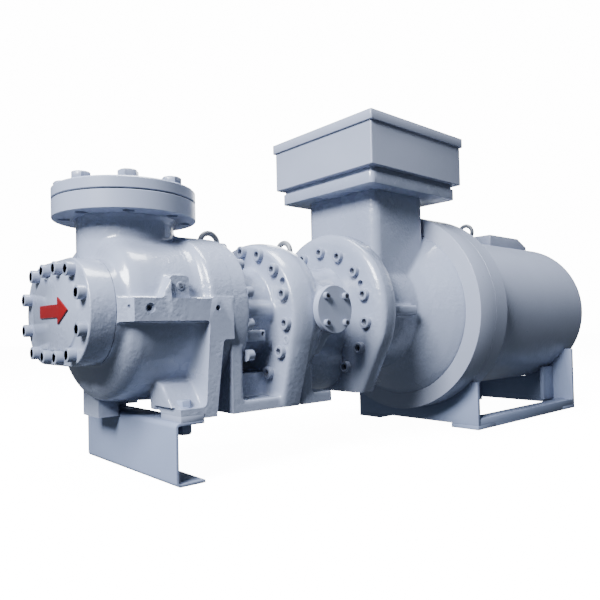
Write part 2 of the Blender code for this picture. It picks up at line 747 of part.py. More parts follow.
def base_rail(name, side, material):
    """Rail on the floor, its ends lying on the pads."""
    start = BASE_FRONT_X + SADDLE_PLATE + GAP
    end = BASE_REAR_X - SADDLE_PLATE - GAP
    first = BASE_FRONT_X + PAD_LENGTH + GAP
    last = BASE_REAR_X - PAD_LENGTH - GAP
    lift = PAD_HEIGHT + GAP
    outline = [
        (start, lift), (first, lift), (first, 0.0), (last, 0.0), (last, lift), (end, lift),
        (end, RAIL_TOP), (start, RAIL_TOP),
    ]
    edge = BASE_NEAR_Y if side < 0 else BASE_FAR_Y
    return prism(name, "Y", outline, edge, edge - side * RAIL_WIDTH, material)


def rear_rib(name, side, material):
    """Upright rib that stiffens the rear cross plate."""
    centre = (BASE_NEAR_Y + BASE_FAR_Y) / 2
    y = centre + side * 0.148
    low = (1.395, y - 0.006, RAIL_TOP + GAP)
    high = (BASE_REAR_X - SADDLE_PLATE - GAP, y + 0.006, 0.142)
    rib = block(name, low, high, material)
    shell = cylinder("shell", "X", MOTOR_AXIS, SHELL_RADIUS + GAP, 1.3, 1.5)
    return combine(rib, shell, "DIFFERENCE")


def eyebolt(name, place, turn, material):
    """Lifting eye: a ring on a round collar, turned about its upright axis."""
    ring_radius, wire_radius = 0.0245, 0.0065
    collar_height, collar_radius = 0.010, 0.016
    bm = bmesh.new()
    bmesh.ops.create_circle(bm, segments=12, radius=wire_radius)
    bmesh.ops.translate(bm, vec=(ring_radius, 0.0, 0.0), verts=bm.verts)
    bmesh.ops.spin(
        bm, geom=bm.verts[:] + bm.edges[:], cent=(0, 0, 0), axis=(0, 1, 0),
        angle=2 * math.pi, steps=28, use_merge=True,
    )
    bmesh.ops.remove_doubles(bm, verts=bm.verts, dist=0.00001)
    lift = collar_height + ring_radius + wire_radius * 0.3
    bmesh.ops.translate(bm, vec=(0.0, 0.0, lift), verts=bm.verts)
    bmesh.ops.rotate(bm, cent=(0, 0, 0), matrix=Matrix.Rotation(turn, 3, "Z"), verts=bm.verts)
    bmesh.ops.translate(bm, vec=place, verts=bm.verts)
    ring = solid(name, bm)
    x, y, z = place
    profile = [(z, collar_radius), (z + 0.006, collar_radius), (z + collar_height, 0.011)]
    combine(ring, turned("collar", "Z", (x, y), profile, count=SMALL_ROUND))
    ring.name = name
    ring.data.materials.clear()
    ring.data.materials.append(material)
    return ring


def compressor():
    enamel = paint("grey_enamel", ENAMEL, 0.28)
    machined = paint("painted_machined_face", MACHINED, 0.34)
    frame = paint("base_frame_enamel", FRAME_ENAMEL, 0.40)
    rubber = paint("gasket_sheet", GASKET_BLACK, 0.80)
    red = paint("arrow_red", ARROW_RED, 0.40)

    support_channel(frame)
    foot_shim("near_foot_shim", -1, machined)
    foot_shim("far_foot_shim", 1, machined)
    rotor_casing(enamel)
    front_cover(enamel)
    cover_plaque(red)
    inlet_gasket(rubber)
    blind_flange(enamel)
    bearing_housing(enamel)
    second_bearing_cap(enamel)
    drive_end_housing(enamel)
    side_port_cover(machined)


def motor():
    enamel = paint("motor_enamel", ENAMEL, 0.30)
    sheet = paint("terminal_box_enamel", ENAMEL, 0.32)

    motor_end_shield(enamel)
    motor_ring(enamel)
    motor_shell(enamel)
    motor_rear_cover(enamel)
    shell_top_housing(enamel)
    terminal_duct(enamel)
    terminal_base_plate(enamel)
    terminal_box(sheet)
    terminal_lid(sheet)


def motor_base():
    frame = paint("motor_base_enamel", FRAME_ENAMEL, 0.40)
    saddle("base_front_saddle", BASE_FRONT_X, RING_RADIUS + GAP, 0.134, frame)
    saddle("base_rear_saddle", BASE_REAR_X - SADDLE_PLATE, SHELL_RADIUS + GAP, 0.203, frame)
    rear_pad_x = BASE_REAR_X - PAD_LENGTH
    for word, side in (("near", -1), ("far", 1)):
        base_pad("base_front_pad_" + word, BASE_FRONT_X, side, frame)
        base_pad("base_rear_pad_" + word, rear_pad_x, side, frame)
        base_rail("base_rail_" + word, side, frame)
        rear_rib("base_rear_rib_" + word, side, frame)


def eyebolts():
    steel = paint("lifting_eye_steel", EYEBOLT_STEEL, 0.45, 0.4)
    eyebolt("bearing_housing_eyebolt", (0.186, 0.0, 0.466 + GAP), 0.0, steel)
    neck_top = SHAFT_Z + 0.112
    eyebolt("drive_housing_eyebolt", (0.360, MOTOR_Y, neck_top + GAP), math.radians(90), steel)
    shell_top = SHAFT_Z + SHELL_RADIUS
    eyebolt("motor_eyebolt", (1.184, MOTOR_Y, shell_top + GAP), math.radians(90), steel)


def main():
    clear_scene()
    compressor()
    motor()
    motor_base()
    eyebolts()


main()
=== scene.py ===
"""Looks of a twin-screw compressor with its close-coupled motor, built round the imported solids.

Metres, +Z up. +X runs along the shafts from the front cover to the motor, and -Y is the near side.
"""

import math

import bmesh
import bpy
from mathutils import Matrix, Vector


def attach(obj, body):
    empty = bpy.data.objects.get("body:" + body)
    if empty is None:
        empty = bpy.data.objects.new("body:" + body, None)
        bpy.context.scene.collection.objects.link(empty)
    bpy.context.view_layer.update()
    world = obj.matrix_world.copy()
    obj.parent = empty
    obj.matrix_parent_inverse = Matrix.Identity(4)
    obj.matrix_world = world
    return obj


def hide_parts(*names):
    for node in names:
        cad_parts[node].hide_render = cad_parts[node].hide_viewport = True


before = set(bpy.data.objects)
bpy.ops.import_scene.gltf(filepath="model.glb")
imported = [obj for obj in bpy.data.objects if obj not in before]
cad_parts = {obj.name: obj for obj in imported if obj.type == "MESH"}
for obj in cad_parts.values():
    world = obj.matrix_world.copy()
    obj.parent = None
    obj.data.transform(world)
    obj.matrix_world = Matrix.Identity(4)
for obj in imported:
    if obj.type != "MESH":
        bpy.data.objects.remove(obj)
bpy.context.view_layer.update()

# Shaft lines, and the gap that the solids keep where they touch
SHAFT_Z = 0.335
MOTOR_Y = -0.073
MOTOR_AXIS = (MOTOR_Y, SHAFT_Z)
GAP = 0.0003

# Rotor casing, its support channel and shims
CASING_HALF_WIDTH = 0.209
CASING_TOP_RISE = 0.170
CASING_END_X = 0.107
CASING_SCREWS = ((-0.195, 0.373), (-0.195, 0.306), (-0.195, 0.240), (-0.163, 0.434), (-0.100, 0.476))
BAND_X = -0.128
BAND_RADIUS = 0.104
BORE_HALF_SPACING = 0.070
LEDGE_X = -0.111
LEDGE_BOTTOM = 0.314
LEDGE_TOP = 0.357
LEDGE_END = ((BAND_X, 0.1735), (-0.1135, 0.186), (LEDGE_X, 0.196))
FOOT_DEPTH = 0.078
FOOT_TOP = 0.145
FOOT_X = (-0.020, 0.032)
SHIM_TOP = 0.1325
CHANNEL_TOP = 0.1205

# Front cover
COVER_FACE_X = -0.178
COVER_HEAD_X = -0.194
PAD_HEIGHT = 0.004
COVER_HEAD_RADIUS = 0.0136

# Inlet neck, its flange and the blank
INLET_AXIS = (-0.026, 0.0)
NECK_RADIUS = 0.102
FLANGE_RADIUS = 0.150
FLANGE_BOTTOM = 0.533
FLANGE_TOP = 0.5705
BLIND_TOP = 0.597
INLET_BOLT_CIRCLE = 0.125
INLET_BOLTS = 8

# Bearing housing
BEARING_FLANGE_END_X = 0.148
HOUSING_AXIS = (MOTOR_Y, 0.322)
HOUSING_RISE = 0.967
BEARING_FACE_X = 0.2345
BEARING_END_X = 0.2847
BEARING_SCREW_CIRCLE = 0.1545
BEARING_SCREWS = 13
HOUSING_FOOT_BOTTOM = 0.1225
HOUSING_FOOT_TOP = 0.147
HOUSING_FEET = ((-0.200, -0.125), (-0.021, 0.054))

# Drive-end housing and the flange on the motor
DRIVE_FACE_X = 0.489
DRIVE_FACE_RADIUS = 0.175
MOTOR_FLANGE_RADIUS = 0.206
MOTOR_SEAM_X = 0.507
MOTOR_FLANGE_END_X = 0.541
MOTOR_FLANGE_BOTTOM = 0.131
MOTOR_SCREW_AXIS = (-0.068, 0.330)
MOTOR_SCREW_CIRCLE = 0.1625
MOTOR_SCREWS = 15
SCREW_PITCH_DEGREES = 24
SUMP_AXIS = (MOTOR_Y, 0.207)
PORT_AXIS = (0.3365, SHAFT_Z)
PORT_FACE_Y = -0.272
PORT_RADIUS = 0.054
PORT_PLATE = 0.016
PORT_SCREW_OFFSET = 0.0295

# Motor
RING_X = 0.791
RING_END_X = 0.930
RING_RADIUS = 0.284
SHELL_RADIUS = 0.236
SHELL_END_X = 1.533
END_COVER_X = 1.550
CONE_RADIUS = 0.240

BOX_LOW = (0.486, -0.261)
BOX_HIGH = (0.881, 0.115)
DUCT_TOP = 0.6498
PLATE_TOP = 0.679
LID_BOTTOM = 0.799
LID_TOP = 0.824

# Motor base
BASE_NEAR_Y = -0.293
BASE_FAR_Y = 0.147
BASE_FRONT_X = 0.868
BASE_REAR_X = 1.481
BASE_PLATE = 0.012
BASE_PAD_LENGTH = 0.092
BASE_PAD_WIDTH = 0.087
RAIL_TOP = 0.030
RAIL_WIDTH = 0.045

# Castings are modelled this much beyond their machined faces, then cut back to them
OVER = 0.008


# Shapes


def along_x(u, v, w):
    """An outline point (u, v) at height w along X; the next two do the same for Y and Z."""
    return Vector((w, u, v))


def along_y(u, v, w):
    return Vector((u, w, v))


def along_z(u, v, w):
    return Vector((u, v, w))


def racetrack(half_spacing, radius, per_end=40):
    """Two half circles about the rotor bores, joined by straight runs."""
    points = []
    for side, start in ((1, -90), (-1, 90)):
        for i in range(per_end + 1):
            angle = math.radians(start + 180 * i / per_end)
            y = side * half_spacing + radius * math.cos(angle)
            points.append((y, SHAFT_Z + radius * math.sin(angle)))
    return points


def arch(centre_y, half_width, rise, drop, count=144, flatness=2.3):
    """Flattened arch above the shafts, round belly below."""
    points = []
    for i in range(count):
        angle = 2 * math.pi * i / count
        across, up = math.cos(angle), math.sin(angle)
        power = 2 / flatness if up > 0 else 1.0
        y = half_width * math.copysign(abs(across) ** power, across)
        z = (rise if up > 0 else drop) * math.copysign(abs(up) ** power, up)
        points.append((centre_y + y, SHAFT_Z + z))
    return points


def oval(centre, half_width, rise, start=0, sweep=360, count=144):
    """Arc in degrees about a centre; its upper half is rise high, its lower half round."""
    points = []
    for i in range(count):
        angle = math.radians(start + sweep * i / (count if sweep == 360 else count - 1))
        height = rise if math.sin(angle) > 0 else half_width
        points.append((centre[0] + half_width * math.cos(angle), centre[1] + height * math.sin(angle)))
    return points


def footed(centre, radius, half_foot, foot_z, rise=1.0):
    """Round flange whose lower part runs down to a flat foot."""
    points = oval(centre, radius, radius * rise, start=-20, sweep=220, count=110)
    return points + [(centre[0] - half_foot, foot_z), (centre[0] + half_foot, foot_z)]


def rounded_rectangle(low, high, corner, per_corner=8):
    """Rectangle between two corner points, its corners rounded."""
    points = []
    centres = (
        (high[0] - corner, high[1] - corner),
        (low[0] + corner, high[1] - corner),
        (low[0] + corner, low[1] + corner),
        (high[0] - corner, low[1] + corner),
    )
    for quarter, (u, v) in enumerate(centres):
        for i in range(per_corner + 1):
            angle = math.pi / 2 * (quarter + i / per_corner)
            points.append((u + corner * math.cos(angle), v + corner * math.sin(angle)))
    return points


class Shape:
    """The forms of one piece, collected in a bmesh."""

    def __init__(self):
        self.bm = bmesh.new()

    def loft(self, place, sections):
        """Closed skin through outlines of equal length, each at its height."""
        loops = []
        for height, outline in sections:
            verts = [self.bm.verts.new(place(u, v, height)) for u, v in outline]
            loops.append([self.bm.edges.new(pair) for pair in zip(verts, verts[1:] + verts[:1])])
        for lower, upper in zip(loops, loops[1:]):
            bmesh.ops.bridge_loops(self.bm, edges=lower + upper)
        for end in (loops[0], loops[-1]):
            bmesh.ops.edgeloop_fill(self.bm, edges=end)
        return self

    def prism(self, place, outline, start, end):
        return self.loft(place, [(start, outline), (end, outline)])

    def turned(self, place, centre, profile, steps=96):
        """Full turn of a (height, radius) profile, closed at both ends on the axis."""
        path = [(profile[0][0], 0.0)] + list(profile) + [(profile[-1][0], 0.0)]
        made = [self.bm.verts.new(place(centre[0] + r, centre[1], h)) for h, r in path]
        edges = [self.bm.edges.new(pair) for pair in zip(made, made[1:])]
        before = set(self.bm.verts) - set(made)
        bmesh.ops.spin(
            self.bm, geom=made + edges, cent=place(centre[0], centre[1], 0.0), axis=place(0, 0, 1),
            angle=2 * math.pi, steps=steps, use_merge=True,
        )
        fresh = [v for v in self.bm.verts if v not in before]
        bmesh.ops.remove_doubles(self.bm, verts=fresh, dist=1e-6)
        return self

    def cylinder(self, place, centre, radius, start, end, steps=64):
        return self.turned(place, centre, [(start, radius), (end, radius)], steps)

    def bar(self, low, high):
        """Rectangular block between two corner points."""
        size = Vector(high) - Vector(low)
        made = bmesh.ops.create_cube(self.bm, size=1.0)["verts"]
        bmesh.ops.scale(self.bm, vec=size, verts=made)
        bmesh.ops.translate(self.bm, vec=Vector(low) + size / 2, verts=made)
        return self

    def stamp(self, mesh, place, direction, turn=0.0):
        """Copy of a small mesh that points up, set at a place and turned to a direction."""
        spin = Vector((0, 0, 1)).rotation_difference(Vector(direction)).to_matrix().to_4x4()
        matrix = Matrix.Translation(place) @ spin @ Matrix.Rotation(turn, 4, "Z")
        copy = mesh.copy()
        copy.transform(matrix)
        self.bm.from_mesh(copy)
        bpy.data.meshes.remove(copy)
        return self

    def mesh(self, name):
        """The forms as one mesh; the bmesh is used up."""
        bmesh.ops.recalc_face_normals(self.bm, faces=self.bm.faces)
        mesh = bpy.data.meshes.new(name)
        self.bm.to_mesh(mesh)
        self.bm.free()
        return mesh

    def object(self, name):
        thing = bpy.data.objects.new(name, self.mesh(name))
        bpy.context.collection.objects.link(thing)
        return thing


def settle(thing):
    """Apply every modifier."""
    graph = bpy.context.evaluated_depsgraph_get()
    mesh = bpy.data.meshes.new_from_object(thing.evaluated_get(graph))
    thing.modifiers.clear()
    thing.data = mesh
    return thing


def sliced(thing, point, outward):
    """Cut a piece flat at a plane and take away what lies beyond it."""
    bm = bmesh.new()
    bm.from_mesh(thing.data)
    whole = bm.verts[:] + bm.edges[:] + bm.faces[:]
    cut = bmesh.ops.bisect_plane(
        bm, geom=whole, dist=1e-7, plane_co=point, plane_no=outward, clear_outer=True,
    )
    rim = [part for part in cut["geom_cut"] if isinstance(part, bmesh.types.BMEdge)]
    bmesh.ops.triangle_fill(bm, edges=rim, use_beauty=True, normal=outward)
    bmesh.ops.recalc_face_normals(bm, faces=bm.faces)
    bm.to_mesh(thing.data)
    bm.free()
    return thing


def machined(thing, cutter, operation="DIFFERENCE"):
    """Cut a shape out of a piece, or join it on."""
    tool = cutter.object("cutter")
    step = thing.modifiers.new("cut", "BOOLEAN")
    step.operation = operation
    step.solver = "EXACT"
    step.object = tool
    settle(thing)
    bpy.data.objects.remove(tool, do_unlink=True)
    return thing


def cast(name, shape, grain=0.0034, softness=9):
    """Foundry casting: the forms melt into one skin, with soft inside corners."""
    thing = shape.object(name)
    skin = thing.modifiers.new("skin", "REMESH")
    skin.mode = "VOXEL"
    skin.voxel_size = grain
    soften = thing.modifiers.new("soften", "SMOOTH")
    soften.factor = 0.5
    soften.iterations = softness
    return settle(thing)


def bevelled(thing, width, segments=2):
    """Break the sharp edges of a piece."""
    step = thing.modifiers.new("edges", "BEVEL")
    step.width = width
    step.segments = segments
    step.limit_method = "ANGLE"
    step.angle_limit = math.radians(40)
    return settle(thing)


def finished(thing, materials, nodes=(), sharp=34):
    """Shade, paint and fix a piece to the frame, in place of its plain solids."""
    if not isinstance(materials, (list, tuple)):
        materials = [materials]
    mesh = thing.data
    mesh.name = thing.name
    mesh.shade_smooth()
    mesh.set_sharp_from_angle(angle=math.radians(sharp))
    for index, material in enumerate(materials):
        if index < len(mesh.materials):
            mesh.materials[index] = material
        else:
            mesh.materials.append(material)
    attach(thing, "root")
    if nodes:
        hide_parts(*nodes)
    return thing


# Finishes


class Socket:
    """A shader value; each operator on it adds its Math node."""

    def __init__(self, finish, link):
        self.finish = finish
        self.link = link

    def __add__(self, other):
        return self.finish.math("ADD", self, other)

    def __mul__(self, other):
        return self.finish.math("MULTIPLY", self, other)

    def __radd__(self, other):
        return self.finish.math("ADD", other, self)

    def __rmul__(self, other):
        return self.finish.math("MULTIPLY", other, self)

    def above(self, low, high):
        """0 below low, 1 above high, straight between."""
        node = self.finish.node(
            "ShaderNodeMapRange", {"clamp": True},
            {"Value": self, "From Min": low, "From Max": high},
        )
        return Socket(self.finish, node.outputs["Result"])


class Finish:
    """A procedural material under construction."""

    def __init__(self, name, roughness, metallic=0.0, coat=0.0, coat_roughness=0.1):
        self.material = bpy.data.materials.new(name)
        self.material.use_nodes = True
        self.tree = self.material.node_tree
        self.shader = self.tree.nodes["Principled BSDF"]
        self.shader.inputs["Roughness"].default_value = roughness
        self.shader.inputs["Metallic"].default_value = metallic
        self.shader.inputs["Coat Weight"].default_value = coat
        self.shader.inputs["Coat Roughness"].default_value = coat_roughness
        self.place = Socket(self, self.node("ShaderNodeTexCoord").outputs["Object"])

    def node(self, kind, settings=None, inputs=None):
        node = self.tree.nodes.new(kind)
        for key, value in (settings or {}).items():
            setattr(node, key, value)
        for key, value in (inputs or {}).items():
            self.feed(node.inputs[key], value)
        return node

    def feed(self, socket, value):
        if isinstance(value, Socket):
            self.tree.links.new(value.link, socket)
        else:
            socket.default_value = value

    def math(self, operation, first, second):
        node = self.node("ShaderNodeMath", {"operation": operation}, {0: first, 1: second})
        return Socket(self, node.outputs[0])

    def noise(self, scale, detail=2.0, roughness=0.5):
        node = self.node(
            "ShaderNodeTexNoise", None,
            {"Vector": self.place, "Scale": scale, "Detail": detail, "Roughness": roughness},
        )
        return Socket(self, node.outputs["Fac"])

    def mix(self, factor, first, second):
        node = self.node("ShaderNodeMix", {"data_type": "RGBA"}, {"Factor": factor})
        self.feed(node.inputs[6], first)
        self.feed(node.inputs[7], second)
        return Socket(self, node.outputs[2])

    def colour(self, value):
        self.feed(self.shader.inputs["Base Color"], value)

    def rough(self, value):
        self.feed(self.shader.inputs["Roughness"], value)

    def bump(self, *layers):
        """Each layer is (height, depth in metres); they lie over each other."""
        normal = None
        for height, depth in layers:
            inputs = {"Height": height, "Distance": depth, "Strength": 1.0}
            if normal:
                inputs["Normal"] = normal
            normal = Socket(self, self.node("ShaderNodeBump", None, inputs).outputs[0])
        self.feed(self.shader.inputs["Normal"], normal)


def shade(colour, factor):
    """A colour made lighter or darker."""
    return tuple(min(1.0, channel * factor) for channel in colour[:3]) + (1.0,)


def enamel(name, colour, roughness, coat=0.0, cast_depth=0.0, peel_depth=0.00006, patch=0.06):
    """Sprayed enamel: soft clouding, fine orange peel and, on castings, the foundry skin."""
    finish = Finish(name, roughness, coat=coat)
    clouds = finish.noise(5.0, 3.0)
    specks = finish.noise(420.0, 2.0)
    tone = clouds.above(0.3, 0.7) * 0.75 + specks.above(0.25, 0.75) * 0.25
    finish.colour(finish.mix(tone, shade(colour, 1.0 - patch), shade(colour, 1.0 + patch)))
    finish.rough(finish.noise(9.0, 4.0).above(0.25, 0.75) * 0.10 + (roughness - 0.05))
    layers = [(finish.noise(260.0, 1.0), peel_depth)]
    if cast_depth:
        coarse = finish.noise(95.0, 3.0, 0.6)
        where = finish.noise(11.0, 1.0).above(0.42, 0.60)
        layers.append((coarse * (where * 0.75 + 0.25), cast_depth))
    finish.bump(*layers)
    return finish.material


def plain(name, colour, roughness, metallic=0.0, depth=0.00004, patch=0.08):
    """One colour with slight patches and a fine grain."""
    finish = Finish(name, roughness, metallic)
    tone = finish.noise(14.0, 3.0).above(0.3, 0.7)
    finish.colour(finish.mix(tone, shade(colour, 1 - patch), shade(colour, 1 + patch)))
    finish.rough(finish.noise(30.0, 3.0).above(0.3, 0.7) * 0.10 + (roughness - 0.05))
    finish.bump((finish.noise(300.0, 3.0), depth))
    return finish.material


LIGHT_ENAMEL = (0.290, 0.325, 0.435, 1.0)
SHEET_ENAMEL = (0.300, 0.330, 0.430, 1.0)
FRAME_COLOUR = (0.235, 0.280, 0.410, 1.0)

cast_enamel = enamel("cast_enamel", LIGHT_ENAMEL, 0.26, 0.5, cast_depth=0.0016)
smooth_enamel = enamel("machined_enamel", LIGHT_ENAMEL, 0.34, 0.0, patch=0.04)
sheet_enamel = enamel("sheet_enamel", SHEET_ENAMEL, 0.32, 0.1, peel_depth=0.00009)
frame_enamel = enamel("frame_enamel", FRAME_COLOUR, 0.42, 0.0, peel_depth=0.00012, patch=0.09)
screw_enamel = enamel("screw_enamel", (0.245, 0.275, 0.370, 1.0), 0.30, 0.2, patch=0.08)
# Painted shade: a near-black colour for the floors of the screws' hexagon recesses, standing in for the
# shadow that falls inside them.
socket_painted_shade = plain("socket_painted_shade", (0.060, 0.066, 0.085, 1.0), 0.50)
eye_steel = plain("eye_steel", (0.17, 0.18, 0.20, 1.0), 0.48, 0.15, depth=0.00012)
gasket_sheet = plain("gasket_sheet", (0.02, 0.02, 0.025, 1.0), 0.75)
arrow_red = plain("arrow_red", (0.200, 0.0015, 0.003, 1.0), 0.34, patch=0.12)


# Fasteners


def socket_head(radius, height, across, depth):
    """Head of a socket screw on z 0; the floor of its hexagon recess takes the second material."""
    bm = bmesh.new()
    count = 24
    rounding = radius * 0.10
    rims = [(0.0, radius), (height - rounding, radius), (height - rounding * 0.3, radius - rounding * 0.3),
            (height, radius - rounding), (height, across * 0.62)]
    loops = []
    for z, r in rims:
        made = bmesh.ops.create_circle(bm, segments=count, radius=r)["verts"]
        bmesh.ops.translate(bm, vec=(0, 0, z), verts=made)
        loops.append(list({e for v in made for e in v.link_edges}))
    for z in (height - radius * 0.05, height - depth):
        made = bmesh.ops.create_circle(bm, segments=6, radius=across / math.sqrt(3))["verts"]
        bmesh.ops.translate(bm, vec=(0, 0, z), verts=made)
        edges = list({e for v in made for e in v.link_edges})
        bmesh.ops.subdivide_edges(bm, edges=edges, cuts=3)
        loops.append([e for e in bm.edges if e.is_wire and all(abs(v.co.z - z) < 1e-7 for v in e.verts)])
    for lower, upper in zip(loops, loops[1:]):
        bmesh.ops.bridge_loops(bm, edges=lower + upper)
    # The recess floor takes the second material; most screws give it a near-black colour as painted shade for
    # the recess.
    floor = bmesh.ops.edgeloop_fill(bm, edges=loops[-1])["faces"]
    for face in floor:
        face.material_index = 1
    bmesh.ops.edgeloop_fill(bm, edges=loops[0])
    bmesh.ops.recalc_face_normals(bm, faces=bm.faces)
    mesh = bpy.data.meshes.new("socket_head")
    bm.to_mesh(mesh)
    bm.free()
    return mesh


def hex_head(across, height, washer=0.0):
    """Chamfered hexagon head on z 0."""
    shape = Shape()
    bm = shape.bm
    corner = across / math.sqrt(3)
    loops = []
    rims = ((washer, corner, 6), (height - across * 0.07, corner, 6), (height, across * 0.475, 24))
    for z, radius, sides in rims:
        made = bmesh.ops.create_circle(bm, segments=sides, radius=radius)["verts"]
        bmesh.ops.translate(bm, vec=(0, 0, z), verts=made)
        edges = list({e for v in made for e in v.link_edges})
        if sides == 6:
            bmesh.ops.subdivide_edges(bm, edges=edges, cuts=3)
            edges = [e for e in bm.edges if e.is_wire and all(abs(v.co.z - z) < 1e-7 for v in e.verts)]
        loops.append(edges)
    for lower, upper in zip(loops, loops[1:]):
        bmesh.ops.bridge_loops(bm, edges=lower + upper)
    bmesh.ops.edgeloop_fill(bm, edges=loops[0])
    bmesh.ops.edgeloop_fill(bm, edges=loops[-1])
    if washer:
        edge = washer * 0.2
        wide = across * 0.62
        shape.turned(along_z, (0.0, 0.0), [(0.0, wide), (washer - edge, wide), (washer, wide - edge)], 32)
    return shape.mesh("hex_head")


def on_circle(centre, radius, degrees):
    """A point on a circle that is seen along the shafts; 0 is the near side and 90 the top."""
    angle = math.radians(degrees)
    return centre[0] - radius * math.cos(angle), centre[1] + radius * math.sin(angle)


# Pieces


def support_channel():
    """Bent plate: its web stands at the front and both legs point to the motor."""
    half_width, plate, bend = 0.032, 0.006, 0.010
    outer, inner = [], []
    for corner_z, sign in ((bend, -1), (CHANNEL_TOP - bend, 1)):
        for i in range(9):
            angle = math.radians(90 * i / 8)
            if sign > 0:
                angle = math.pi / 2 - angle
            across, up = math.sin(angle), math.cos(angle)
            curve = bend - plate
            outer.append((-half_width + bend - bend * across, corner_z + sign * bend * up))
            inner.append((-half_width + bend - curve * across, corner_z + sign * curve * up))
    outline = [(half_width, 0.0)] + outer + [(half_width, CHANNEL_TOP), (half_width, CHANNEL_TOP - plate)]
    outline += inner[::-1] + [(half_width, plate)]
    thing = Shape().prism(along_y, outline, -CASING_HALF_WIDTH, CASING_HALF_WIDTH).object("channel_plate")
    bevelled(thing, 0.0007)
    finished(thing, frame_enamel, ["support_channel"])


def foot_shims():
    shape = Shape()
    for side in (-1, 1):
        low_y, high_y = sorted((side * (CASING_HALF_WIDTH - FOOT_DEPTH), side * CASING_HALF_WIDTH))
        shape.bar((FOOT_X[0], low_y, CHANNEL_TOP + GAP), (FOOT_X[1], high_y, SHIM_TOP))
    thing = bevelled(shape.object("foot_shims"), 0.0006)
    finished(thing, smooth_enamel, ["near_foot_shim", "far_foot_shim"])


def rotor_casing():
    """Casting with a rounded front shoulder, ledges, columns and feet, then its machined faces."""
    shape = Shape()
    body = (
        (-0.128, 0.148, 0.100, 0.098),
        (-0.117, 0.158, 0.112, 0.142),
        (-0.111, 0.168, 0.138, 0.160),
        (-0.100, 0.178, 0.153, 0.174),
        (-0.090, 0.182, 0.158, 0.180),
        (-0.080, 0.185, 0.161, 0.183),
        (-0.057, 0.187, 0.162, 0.186),
        (0.033, 0.187, 0.162, 0.190),
        (0.046, 0.191, 0.164, 0.195),
        (0.056, 0.209, 0.170, 0.209),
        (CASING_END_X + OVER, 0.209, 0.170, 0.209),
    )
    shape.loft(along_x, [(x, arch(0.0, wide, rise, drop)) for x, wide, rise, drop in body])
    shape.prism(along_x, racetrack(BORE_HALF_SPACING, BAND_RADIUS), BAND_X - OVER, -0.080)
    ledge = [
        (BAND_X - OVER, LEDGE_TOP), (BAND_X - OVER, LEDGE_BOTTOM), (0.050, LEDGE_BOTTOM),
        (0.038, 0.150), (0.034, FOOT_TOP), (FOOT_X[0] - OVER, FOOT_TOP), (FOOT_X[0] - OVER, 0.118),
        (0.061, 0.118), (0.081, 0.276), (CASING_END_X + OVER, 0.276), (CASING_END_X + OVER, LEDGE_TOP),
    ]
    web = [(0.196, 0.138), (0.150, 0.190), (0.120, 0.198), (0.100, 0.215), (0.100, 0.138)]
    for side in (-1, 1):
        near = side * (CASING_HALF_WIDTH + OVER)
        shape.prism(along_y, ledge, near, side * (CASING_HALF_WIDTH - FOOT_DEPTH))
        shape.prism(along_x, [(side * y, z) for y, z in web], FOOT_X[0] - OVER, 0.045)
    boss = [(-0.062, 0.345), (-0.031, 0.401), (0.008, 0.401), (0.008, 0.345)]
    shape.prism(along_y, boss, -0.200 - OVER, -0.120)
    neck = [(0.400, 0.106), (0.445, NECK_RADIUS), (0.522, NECK_RADIUS), (0.530, 0.105),
            (FLANGE_BOTTOM + 0.004, 0.112)]
    shape.turned(along_z, INLET_AXIS, neck)
    casing = cast("casing_casting", shape)

    sliced(casing, (CASING_END_X, 0, 0), (1, 0, 0))
    sliced(casing, (BAND_X, 0, 0), (-1, 0, 0))
    for side in (-1, 1):
        sliced(casing, (0, side * CASING_HALF_WIDTH, 0), (0, side, 0))
        corner = [(x, side * y) for x, y in LEDGE_END]
        corner += [(LEDGE_X, side * 0.25), (-0.2, side * 0.25), (-0.2, corner[0][1])]
        machined(casing, Shape().prism(along_z, corner, 0.25, 0.45))
        low_y, high_y = sorted((side * 0.120, side * 0.25))
        machined(casing, Shape().bar((-0.1, low_y, 0.05), (0.0345, high_y, SHIM_TOP + GAP)))
        machined(casing, Shape().bar((-0.1, low_y, 0.10), (FOOT_X[0], high_y, FOOT_TOP + 0.003)))
        machined(casing, Shape().bar((0.0335, low_y, 0.05), (0.12, high_y, 0.124)))
    machined(casing, Shape().bar((-0.080, 0.030, 0.113), (-0.035, 0.113, 0.215)), "UNION")
    machined(casing, Shape().bar((-0.035, -0.24, LEDGE_TOP + 0.0005), (0.012, -0.200, 0.405)))

    ports = Shape()
    side_y = -CASING_HALF_WIDTH
    ports.turned(along_y, (-0.079, 0.338), [(side_y - 0.02, 0.0095), (side_y + 0.003, 0.0095),
                                            (side_y + 0.004, 0.0052), (side_y + 0.020, 0.0052)], 32)
    ports.cylinder(along_y, (0.069, 0.339), 0.0058, side_y - 0.02, side_y + 0.02, 32)
    ports.cylinder(along_x, (-0.190, 0.341), 0.0042, LEDGE_X - 0.02, LEDGE_X + 0.014, 24)
    machined(casing, ports)
    finished(casing, cast_enamel, ["rotor_casing"], sharp=38)

    sensor = (-0.011, -0.1995, 0.381)
    plug = Shape().stamp(socket_head(0.0085, 0.0022, 0.0075, 0.0020), sensor, (0, -1, 0))
    finished(plug.object("sensor_plug"), [screw_enamel, socket_painted_shade])
    bolts = Shape()
    bolt_x, bolt_y, washer = 0.003, 0.180, 0.003
    for side in (-1, 1):
        head_at, nut_at = ((bolt_x, side * bolt_y, z) for z in (FOOT_TOP - 0.0006, CHANNEL_TOP - 0.006))
        bolts.stamp(hex_head(0.027, 0.016, washer), head_at, (0, 0, 1), 0.4)
        bolts.stamp(hex_head(0.027, 0.021, washer), nut_at, (0, 0, -1), 0.2)
    finished(bolts.object("foot_bolts"), frame_enamel)


